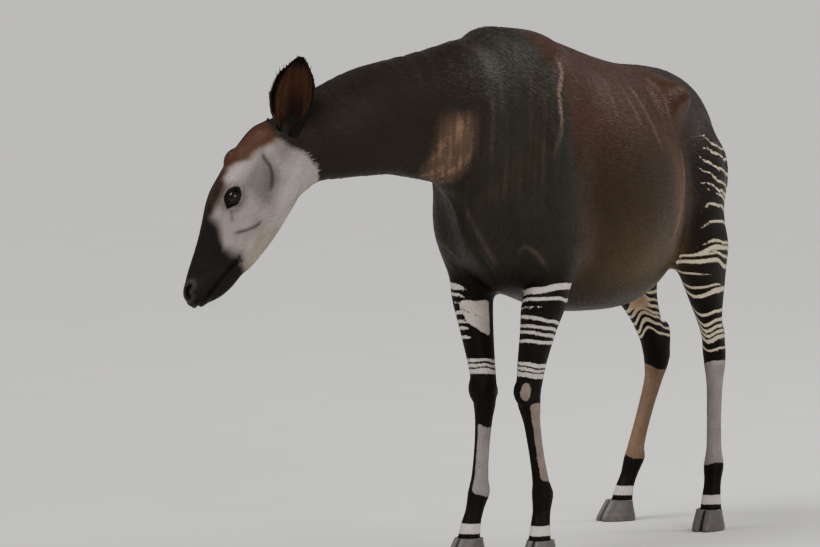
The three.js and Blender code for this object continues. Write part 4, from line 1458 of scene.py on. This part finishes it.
def new_material(name, roughness, **sockets):
    m = bpy.data.materials.new(name)
    m.use_nodes = True
    shader = m.node_tree.nodes["Principled BSDF"]
    shader.inputs["Roughness"].default_value = roughness
    for socket, value in sockets.items():
        shader.inputs[socket.replace("_", " ")].default_value = value
    return m, m.node_tree, shader


def node(tree, kind, **settings):
    made = tree.nodes.new(kind)
    for key, value in settings.items():
        setattr(made, key, value)
    return made


def attribute(tree, name):
    return node(tree, "ShaderNodeAttribute", attribute_name=name)


def noise(tree, scale, detail, vector=None, roughness=0.55):
    made = node(tree, "ShaderNodeTexNoise")
    made.inputs["Scale"].default_value = scale
    made.inputs["Detail"].default_value = detail
    made.inputs["Roughness"].default_value = roughness
    if vector is not None:
        tree.links.new(vector, made.inputs["Vector"])
    return made.outputs["Fac"]


def feed(tree, socket, value):
    """A socket takes a fixed value, or the output of another node."""
    if isinstance(value, (int, float, tuple)):
        socket.default_value = value
    else:
        tree.links.new(value, socket)


def math_node(tree, operation, a, b):
    made = node(tree, "ShaderNodeMath", operation=operation)
    for socket, value in zip(made.inputs, (a, b)):
        feed(tree, socket, value)
    return made.outputs[0]


def scaled(tree, value, low, high):
    made = node(tree, "ShaderNodeMapRange")
    tree.links.new(value, made.inputs["Value"])
    made.inputs["To Min"].default_value = low
    made.inputs["To Max"].default_value = high
    return made.outputs["Result"]


def mixed(tree, factor, a, b, kind="MIX"):
    made = node(tree, "ShaderNodeMix", data_type="RGBA", blend_type=kind)
    colours = [socket for socket in made.inputs if socket.type == "RGBA"]
    for socket, value in ((made.inputs[0], factor), (colours[0], a), (colours[1], b)):
        feed(tree, socket, value)
    return [socket for socket in made.outputs if socket.type == "RGBA"][0]


def toned(tree, base, tone):
    """A colour made lighter and darker by a number."""
    grey = node(tree, "ShaderNodeCombineColor")
    for socket in grey.inputs:
        tree.links.new(tone, socket)
    return mixed(tree, 1.0, base, grey.outputs[0], "MULTIPLY")


def object_place(tree):
    return node(tree, "ShaderNodeTexCoord").outputs["Object"]


def raise_by(tree, shader, height, strength, distance):
    """Bump of a material, with its depth in metres."""
    bump = node(tree, "ShaderNodeBump")
    bump.inputs["Strength"].default_value = strength
    bump.inputs["Distance"].default_value = distance
    tree.links.new(height, bump.inputs["Height"])
    tree.links.new(bump.outputs[0], shader.inputs["Normal"])


def between_tones(tree, factor, low, high):
    """A colour between two plain ones."""
    return mixed(tree, factor, (*low, 1.0), (*high, 1.0))


def skin_material():
    m, tree, shader = new_material("skin", 0.5, Specular_IOR_Level=0.09, Specular_Tint=WARM_GLOSS)
    comb = attribute(tree, "comb").outputs["Vector"]
    hair = noise(tree, 0.55, 3.0, comb)
    clumps = noise(tree, 0.12, 2.0, comb)
    # the edge of a marking wanders by a hair or two
    wander = scaled(tree, hair, -2.2, 2.2)
    edge = math_node(tree, "ADD", attribute(tree, "pale").outputs["Fac"], wander)
    inside = node(tree, "ShaderNodeMapRange", interpolation_type="SMOOTHSTEP")
    tree.links.new(edge, inside.inputs["Value"])
    inside.inputs["From Min"].default_value = -1.2
    inside.inputs["From Max"].default_value = 1.2
    hide_colour = attribute(tree, "hide").outputs["Color"]
    band_colour = attribute(tree, "band").outputs["Color"]
    base = mixed(tree, inside.outputs["Result"], hide_colour, band_colour)
    tone = math_node(tree, "MULTIPLY", scaled(tree, hair, 0.55, 1.45), scaled(tree, clumps, 0.75, 1.25))
    tree.links.new(toned(tree, base, tone), shader.inputs["Base Color"])
    raise_by(tree, shader, hair, 0.45, 0.0012)
    return m


def coat_material():
    m, tree, shader = new_material("coat", 0.42, Specular_IOR_Level=0.10, Specular_Tint=WARM_GLOSS)
    tone = scaled(tree, noise(tree, 900.0, 1.0, object_place(tree)), 0.8, 1.2)
    base = toned(tree, attribute(tree, "hide").outputs["Color"], tone)
    tree.links.new(base, shader.inputs["Base Color"])
    return m


skin.data.materials.clear()
skin.data.materials.append(skin_material())
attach(skin, "root")
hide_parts(*FLESH, "ear_left", "ear_right")
coat = coat_material()


# Roots of the tufts, spread over the skin by area
def roots_on(mesh, spacing):
    """Evenly drawn places on a triangulated mesh: corner vertices and weights of each root."""
    mesh.calc_loop_triangles()
    tri = np.empty(len(mesh.loop_triangles) * 3, np.int32)
    mesh.loop_triangles.foreach_get("vertices", tri)
    tri = tri.reshape(-1, 3)
    at = points_of(mesh) / MM + BOX_CENTRE
    a, b, c = at[tri[:, 0]], at[tri[:, 1]], at[tri[:, 2]]
    area = np.linalg.norm(np.cross(b - a, c - a), axis=1) / 2
    wanted = np.cumsum(area / spacing[tri].mean(axis=1) ** 2)
    places = np.arange(0.5, wanted[-1], 1.0)
    shift = random.uniform(-0.5, 0.5, int(wanted[-1] + 0.5))[: len(places)]
    picks = np.clip(np.searchsorted(wanted, places + shift), 0, len(tri) - 1)
    u = np.sqrt(random.random(len(picks)))
    v = random.random(len(picks))
    weight = np.stack([1 - u, u * (1 - v), u * v], axis=1)
    return tri[picks], weight


def at_roots(values, corners, weight):
    return np.einsum("ij,ijk->ik", weight, values[corners])


SPACING = {"trunk": 5.85, "neck": 5.5, "head": 3.75, "tail": 3.9}
LEG_SPACING = 3.95
head_points = in_head(points)
on_face = np.linalg.norm(head_points - (0, 220, 0), axis=1) < 320
spacing_of = np.array([SPACING.get(name, LEG_SPACING) for name in REGIONS])
skin_region = region_values(points).argmin(axis=1)
spacing = spacing_of[skin_region]
spacing = np.where(points[:, 1] > 300, np.minimum(spacing, 5.3), spacing)
opening_near = np.full(len(points), FAR)
for s in (1, -1):
    e = in_eye(points, s)
    opening_near = np.minimum(opening_near, opening_value(e) + 50 * (e[:, 0] < -10))
bare = (from_eyes(points) < 28) & (opening_near < 4)
bare |= on_face & (head_points[:, 1] > 456)
bare |= points[:, 2] < CORONET + 2
spacing = np.concatenate([np.where(bare, 1e4, spacing), np.full(ear_count, 4.6)])

corners, weight = roots_on(skin.data, spacing)
normals_all = np.empty(len(skin.data.vertices) * 3, np.float32)
skin.data.vertices.foreach_get("normal", normals_all)
normals_all = normals_all.reshape(-1, 3).astype(float)
root = at_roots(all_points, corners, weight)
normal = unit(at_roots(normals_all, corners, weight))
on_body = (corners < body_count).all(axis=1)


def unwrap(p, region):
    """Each region's own cylinder, in its own part of a square."""
    uv = np.zeros((len(p), 2))
    for k, name in enumerate(REGIONS):
        here = region == k
        q = p[here]
        if not len(q):
            continue
        if name == "trunk":
            angle = np.arctan2(q[:, 0], q[:, 2] - 1080)
            place, corner, reach = (q[:, 1] + 740) / 1500, (0.0, 0.0), (0.6, 0.55)
        elif name == "neck":
            x, z, _, along, _ = neck.place(q)
            angle, place, corner, reach = np.arctan2(x, z), along / 1100, (0.6, 0.0), (0.4, 0.55)
        elif name == "head":
            h = in_head(q)
            angle = np.arctan2(h[:, 0], h[:, 2])
            place, corner, reach = (h[:, 1] + 100) / 600, (0.0, 0.55), (0.5, 0.25)
        elif name == "tail":
            x, z, _, along, _ = tail.place(q)
            angle, place, corner, reach = np.arctan2(x, z), along / 500, (0.5, 0.55), (0.1, 0.25)
        else:
            leg = legs[name]
            angle = np.radians(leg_angle(leg, q)) - math.pi
            column = list(legs).index(name)
            place, corner, reach = q[:, 2] / 1200, (0.25 * column, 0.8), (0.24, 0.2)
        uv[here, 0] = corner[0] + reach[0] * (0.01 + 0.98 * (angle / (2 * math.pi) + 0.5))
        uv[here, 1] = corner[1] + reach[1] * np.clip(place, 0.01, 0.99)
    return np.clip(uv, 0.003, 0.997)


def tuft_colour(p):
    pale, band = markings(p)
    inside = smooth(-0.6, 0.6, pale + 1.2 * random.normal(0, 0.5, len(p)))
    return mix(hide(p), 0, inside) + band * inside[:, None]


# Each region's tufts: length, half width, lift of the middle and the tip
TUFT_SIZES = {
    "trunk": (14.5, 1.7, 0.8, 1.3),
    "neck": (13.5, 1.6, 0.8, 1.3),
    "head": (7.0, 1.06, 0.5, 0.8),
    "leg": (6.8, 1.06, 0.45, 0.7),
    "tail": (26.0, 1.3, 1.2, 2.5),
}
body_root, body_normal = root[on_body], normal[on_body]
lie, region = coat_lie(body_root)
sizes = np.array([TUFT_SIZES.get(name, TUFT_SIZES["leg"]) for name in REGIONS])[region]
h = in_head(body_root)
sizes[:, 0] *= np.where(region == 2, 0.75 + 0.5 * smooth(250, 0, h[:, 1]), 1.0)
sizes[:, 0] *= 1 - 0.35 * smooth(200, 90, body_root[:, 2])
# longer on the throat's edge, the crest and the tail's end
edge = np.interp(h[:, 2], *NECK_EDGE)
throat = np.exp(-(((h[:, 1] - edge - 6) / 9) ** 2)) * (body_root[:, 1] < -1000) * (h[:, 2] < 60)
sizes *= 1 + throat[:, None] * (0.4, 0.0, 0.5, 0.8)
from_crest = np.abs(body_root[:, 0] + 40 * smooth(-900, -1100, body_root[:, 1]))
crest = smooth(26, 8, from_crest) * (body_normal[:, 2] > 0.8)
sizes *= 1 + crest[:, None] * (0.3, 0.0, 0.6, 0.9)
tail_end = smooth(1010, 930, body_root[:, 2]) * (region == REGIONS.index("tail"))
sizes *= 1 + tail_end[:, None] * (1.1, 0.2, 1.6, 1.9)
sizes *= random.uniform(0.8, 1.2, (len(sizes), 1)) * random.uniform(0.9, 1.1, sizes.shape)
tint = tuft_colour(body_root + lie * sizes[:, :1] * 0.4)
uv = unwrap(body_root, region)

PIECES = {"trunk": ["trunk"], "neck": ["neck"], "head": ["head"], "legs": list(legs), "tail": ["tail"]}
for label, names in PIECES.items():
    chosen = np.nonzero(np.isin(region, [REGIONS.index(name) for name in names]))[0]
    axis = body_root[chosen] @ ((0, 1, 0) if label != "legs" else (0.1, 0.1, 1))
    chosen = chosen[np.argsort(axis, kind="stable")]
    count = max(1, math.ceil(len(chosen) / MOST_TUFTS))
    for k, part in enumerate(np.array_split(chosen, count)):
        values = (each[part] for each in (body_root, body_normal, lie, sizes, tint, uv))
        tufts(f"coat_{label}_{k + 1}", *values, coat)


# Fur of the ears: short outside, longer inside, a fringe on the margins
for s, ear in ears.items():
    first = body_count if s > 0 else body_count + len(ear_marks[s])
    mine = np.nonzero(~on_body & (corners[:, 0] >= first) & (corners[:, 0] < first + len(ear_marks[s])))[0]
    marks = at_roots(ear_marks[s], corners[mine] - first, weight[mine])
    keep = (marks[:, 0] > 0.03) & (marks[:, 0] < 0.985)
    mine, marks = mine[keep], marks[keep]
    p, n = root[mine], normal[mine]
    share, angle, inner = marks.T
    inner = inner > 0.5
    lie_here = np.tile(ear.along, (len(p), 1))
    lie_here = lie_here + ear.across * (0.5 * np.sign(angle) * inner)[:, None]
    size = np.tile((9.0, 1.2, 0.6, 1.0), (len(p), 1))
    long = inner & (np.abs(angle) > 0.25) & (share < 0.8)
    size[long] = (19.0, 1.0, 2.6, 4.5)
    fringe = (np.abs(angle) > 0.93) & (share > 0.1) & (share < 0.9)
    size[fringe] = (15.0, 0.8, 1.5, 2.5)
    size *= random.uniform(0.75, 1.25, (len(size), 1))
    shade = ear_colour(marks)
    front = fringe & (angle * EAR_FRONT > 0)
    shade[front] = mix(shade[front], EAR_FRINGE, 0.75)
    column = 0.05 + 0.4 * (angle / 2 + 0.5) + 0.5 * inner
    ear_uv = np.stack([column, 0.05 + 0.9 * np.clip(share, 0, 1)], axis=1)
    side = "left" if s > 0 else "right"
    tufts(f"coat_ear_{side}", p, n, lie_here, size, shade, ear_uv, coat)


# Eyes: a ball with a swollen cornea, dark iris and a level pupil
EYE_RINGS = 48
EYE_COLUMNS = 64
CORNEA_HALF = math.radians(36)
CORNEA_RISE = 1.5
GAZE = np.array([0.96, 0.20, 0.05])
IRIS = colour(30, 18, 13)
IRIS_EDGE = colour(18, 11, 9)
PUPIL = colour(4, 4, 6)
EYE_WHITE = colour(22, 16, 15)


def eye_mesh(s):
    mirror = np.array([s, 1, 1])
    out = head_turn(unit(GAZE) * mirror)
    centre = on_head(EYE_AT * mirror)
    level = unit(np.cross((0, 0, 1), out))
    up = np.cross(out, level)
    theta = np.repeat(np.linspace(0.0, math.pi, EYE_RINGS), EYE_COLUMNS)
    phi = np.tile(np.arange(EYE_COLUMNS) * 2 * math.pi / EYE_COLUMNS, EYE_RINGS)
    radius = EYE_RADIUS - 0.2 + CORNEA_RISE * smooth(CORNEA_HALF * 1.15, 0, theta)
    across = np.sin(theta) * np.cos(phi)
    over = np.sin(theta) * np.sin(phi)
    at = centre + radius[:, None] * (
        out * np.cos(theta)[:, None] + level * across[:, None] + up * over[:, None]
    )
    faces = grid_faces(EYE_RINGS, EYE_COLUMNS)
    mesh = new_mesh("eye", to_row(at), faces)
    iris = smooth(CORNEA_HALF * 1.05, CORNEA_HALF * 0.95, theta)
    c = mix(np.tile(EYE_WHITE, (len(at), 1)), IRIS_EDGE, iris)
    c = mix(c, IRIS, smooth(CORNEA_HALF * 0.92, CORNEA_HALF * 0.7, theta) * (0.8 + 0.2 * np.sin(phi * 23)))
    pupil = np.hypot(across / 0.42, over / 0.22)
    c = mix(c, PUPIL, smooth(1.1, 0.9, pupil) * (theta < 1.2))
    set_colour(mesh, "hide", c)
    return mesh


def eye_material():
    m, tree, shader = new_material("eye", 0.1, Specular_IOR_Level=0.12, Coat_Weight=0.22, Coat_Roughness=0.02)
    tree.links.new(attribute(tree, "hide").outputs["Color"], shader.inputs["Base Color"])
    return m


LID_RIM_RADIUS = 24.6
LASH_RADIUS = 25.4


def lid_mesh(s):
    """The bare dark rim of the lids, thicker above and drawn out at the front corner."""
    mirror = np.array([s, 1, 1])
    steps, around = 96, 12
    angle = np.arange(steps) * 2 * math.pi / steps
    middle = opening_rim(angle, LID_RIM_RADIUS)
    ahead = unit(np.roll(middle, -1, 0) - np.roll(middle, 1, 0))
    outward = unit(middle)
    across = np.cross(ahead, outward)
    thick = 1.3 + 0.6 * smooth(-0.2, 0.8, np.sin(angle)) + 1.2 * smooth(0.9, 1.0, np.cos(angle))
    turn = np.arange(around) * 2 * math.pi / around
    ring = (
        middle[:, None, :]
        + across[:, None, :] * (thick[:, None] * np.cos(turn) * 1.5)[:, :, None]
        + outward[:, None, :] * (thick[:, None] * np.sin(turn) * 0.75)[:, :, None]
    )
    at = (ring.reshape(-1, 3) + EYE_AT) * mirror
    return new_mesh("lids", to_row(on_head(at)), grid_faces(steps, around, ring=True))


def bare_skin_material():
    m, tree, shader = new_material("bare_skin", 0.4, Specular_IOR_Level=0.3)
    place = node(tree, "ShaderNodeTexCoord").outputs["Object"]
    speckle = noise(tree, 500.0, 3.0, place)
    base = between_tones(tree, speckle, LIPS * 0.5, LIPS * 1.5)
    tree.links.new(base, shader.inputs["Base Color"])
    raise_by(tree, shader, speckle, 0.5, 0.0004)
    return m


eye_gloss = eye_material()
bare_skin = bare_skin_material()
for s, side in ((1, "left"), (-1, "right")):
    add_piece(f"eyeball_{side}", eye_mesh(s), eye_gloss, (f"eye_{side}",))
    add_piece(f"lids_{side}", lid_mesh(s), bare_skin, ())


# Lashes and whiskers, as fine tapered hairs
HAIR_STEPS = 4
HAIR_SIDES = 3


def hairs(name, root, direction, length, radius, sag):
    """Closed tapered hairs that hang down by a share of their length."""
    direction = unit(direction)
    helper = np.where(np.abs(direction[:, 2:]) < 0.9, (0.0, 0.0, 1.0), (0.0, 1.0, 0.0))
    a = unit(np.cross(direction, helper))
    b = np.cross(direction, a)
    at = []
    for share in np.linspace(0, 1, HAIR_STEPS + 1):
        middle = root + direction * (length * share)[:, None]
        middle = middle - np.array([0, 0, 1.0]) * (sag * length * share**2)[:, None]
        r = radius * (1 - 0.85 * share)
        for turn in np.arange(HAIR_SIDES) * 2 * math.pi / HAIR_SIDES:
            at.append(middle + a * (r * math.cos(turn)) + b * (r * math.sin(turn)))
    at = np.stack(at, axis=1)
    one_hair = capped_faces(HAIR_STEPS + 1, HAIR_SIDES)
    faces = [tuple(i * at.shape[1] + k for k in face) for i in range(len(root)) for face in one_hair]
    return new_mesh(name, to_row(at.reshape(-1, 3)), faces)


def hair_material(name, rgb):
    m, tree, shader = new_material(name, 0.45)
    tone = noise(tree, 120.0, 2.0, object_place(tree))
    tree.links.new(between_tones(tree, tone, rgb * 0.6, rgb * 1.4), shader.inputs["Base Color"])
    return m


LASHES = 44
LASH_HALF_WIDTH = 0.34
WHISKERS = 70
WHISKER_HALF_WIDTH = 0.28
dark_hair = hair_material("dark_hair", COAT_BLACK)
for s, side in ((1, "left"), (-1, "right")):
    mirror = np.array([s, 1, 1])
    angle = np.radians(np.linspace(8, 168, LASHES) + random.uniform(-2, 2, LASHES))
    base = on_head((opening_rim(angle, LASH_RADIUS) + EYE_AT) * mirror)
    push = np.stack([np.full(LASHES, 0.95), 0.3 * np.cos(angle), np.full(LASHES, 0.35)], axis=1)
    length = random.uniform(8, 13, LASHES)
    mesh = hairs("lashes", base, head_turn(push * mirror), length, LASH_HALF_WIDTH, 0.35)
    add_piece(f"lashes_{side}", mesh, dark_hair, ())
x, f, u = head_points.T
near_lips = np.nonzero(on_face & (f > 330) & (np.abs(x) > 14) & (u < 12))[0]
chosen = random.choice(near_lips, WHISKERS, replace=False)
length = random.uniform(14, 38, WHISKERS)
push = normals_all[chosen] + head_turn((0, 0.25, -0.1))
mesh = hairs("whiskers", points[chosen], push, length, WHISKER_HALF_WIDTH, 0.15)
add_piece("whiskers", mesh, dark_hair, ())


# Hooves: the claws of the part, finer, with growth rings
HOOF_ROWS = [
    # height, half width of the foot, toe, heel
    (0, 46, 76, 44),
    (12, 46, 75, 44),
    (38, 42, 60, 40),
    (CORONET, 37, 42, 36),
]
HOOF_STEPS = 9
HOOF_ACROSS = 4


def claw_mesh(leg, s):
    cx, cy = leg.hoof_at
    rings = []
    for z, half, toe, heel in through_rows(HOOF_ROWS, HOOF_STEPS):
        outline = np.array(
            [
                (1.8, toe * 0.8), (half * 0.34, toe), (half * 0.74, toe * 0.72), (half, toe * 0.2),
                (half * 0.98, -heel * 0.4), (half * 0.72, -heel * 0.86), (half * 0.3, -heel),
                (1.8, -heel * 0.8), (1.8, 0.0),
            ]
        )
        closed = np.concatenate([outline[-2:], outline, outline[:3]])
        fine = through_rows(closed, HOOF_ACROSS)[2 * HOOF_ACROSS : (2 + len(outline)) * HOOF_ACROSS]
        fine[:, 0] = np.maximum(fine[:, 0], 1.2)
        middle = np.array([half * 0.5, 0.0])
        growth = 0.35 * math.sin(z * 0.95) + 0.25 * math.sin(z * 0.37 + 1)
        growth += 1.0 * smooth(CORONET - 9, CORONET - 3, z) - 1.2 * smooth(4, 0, z)
        away = unit(fine - middle)
        fine = fine + away * growth * (fine[:, :1] > 4)
        rings.append([(s * x, y, z) for x, y in fine])
    count = len(rings[0])
    flat = np.array(rings).reshape(-1, 3)
    at = np.stack([np.full(len(flat), cx), np.full(len(flat), cy), flat[:, 2]], axis=1)
    at = at + leg.left * flat[:, :1] + leg.front * flat[:, 1:2]
    faces = capped_faces(len(rings), count)
    mesh = new_mesh("claw", to_row(at), faces)
    flat_faces = np.ones(len(faces), bool)
    flat_faces[-2:] = False
    mesh.polygons.foreach_set("use_smooth", flat_faces)
    return mesh


HORN_DARK = colour(34, 31, 30)
HORN_PALE = colour(96, 89, 84)


def stretched_noise(tree, scale, fineness, detail):
    """Noise drawn out along one direction of the object."""
    stretch = node(tree, "ShaderNodeMapping")
    stretch.inputs["Scale"].default_value = scale
    tree.links.new(object_place(tree), stretch.inputs["Vector"])
    return noise(tree, fineness, detail, stretch.outputs[0])


def horn_material():
    m, tree, shader = new_material("horn", 0.5)
    streak = stretched_noise(tree, (1.0, 1.0, 0.16), 260.0, 4.0)
    ring = stretched_noise(tree, (0.12, 0.12, 1.0), 300.0, 3.0)
    shade = math_node(tree, "MULTIPLY", streak, scaled(tree, ring, 0.5, 1.5))
    tree.links.new(between_tones(tree, shade, HORN_DARK, HORN_PALE), shader.inputs["Base Color"])
    raise_by(tree, shader, shade, 0.5, 0.0008)
    return m


horn = horn_material()
for name, leg in legs.items():
    for claw_name, s in (("outer", 1), ("inner", -1)):
        side = s if name.endswith("left") else -s
        hoof = name.replace("leg", "_hoof") + f"_{claw_name}_claw"
        add_piece(hoof.replace("claw", "horn"), claw_mesh(leg, side), horn, (hoof,))


# Floor and lights
FLOOR_HALF = 300
FLOOR_GREY = colour(205, 204, 200)
FLOOR_PALE = colour(216, 215, 211)


def floor_material():
    m, tree, shader = new_material("floor", 0.85)
    tone = noise(tree, 3.0, 3.0, object_place(tree))
    tree.links.new(between_tones(tree, tone, FLOOR_GREY, FLOOR_PALE), shader.inputs["Base Color"])
    return m


floor_mesh = bpy.data.meshes.new("floor")
floor_corners = [(x * FLOOR_HALF, y * FLOOR_HALF, 0) for x, y in ((-1, -1), (1, -1), (1, 1), (-1, 1))]
floor_mesh.from_pydata(floor_corners, [], [(0, 1, 2, 3)])
floor_mesh.materials.append(floor_material())
floor = bpy.data.objects.new("floor", floor_mesh)
bpy.context.scene.collection.objects.link(floor)


def light(name, kind, at, size, power, target=(0, 0, 0.8)):
    data = bpy.data.lights.new(name, kind)
    if kind == "SUN":
        data.angle = size
    else:
        data.shape = "DISK"
        data.size = size
    data.energy = power
    lamp = bpy.data.objects.new(name, data)
    lamp.location = at
    lamp.rotation_euler = (Vector(target) - Vector(at)).to_track_quat("-Z", "Y").to_euler()
    bpy.context.scene.collection.objects.link(lamp)


WORLD_COLOUR = (0.91, 0.89, 0.86, 1)
WORLD_STRENGTH = 0.5
light("key", "SUN", (-2.0, -5.0, 8.0), 0.6, 3.0)
light("fill", "AREA", (7, -3, 3.5), 4.0, 260)
light("rim", "AREA", (4, 6, 5.5), 3.0, 260)
world = bpy.data.worlds.new("world")
world.use_nodes = True
background = world.node_tree.nodes["Background"]
background.inputs["Color"].default_value = WORLD_COLOUR
background.inputs["Strength"].default_value = WORLD_STRENGTH
bpy.context.scene.world = world
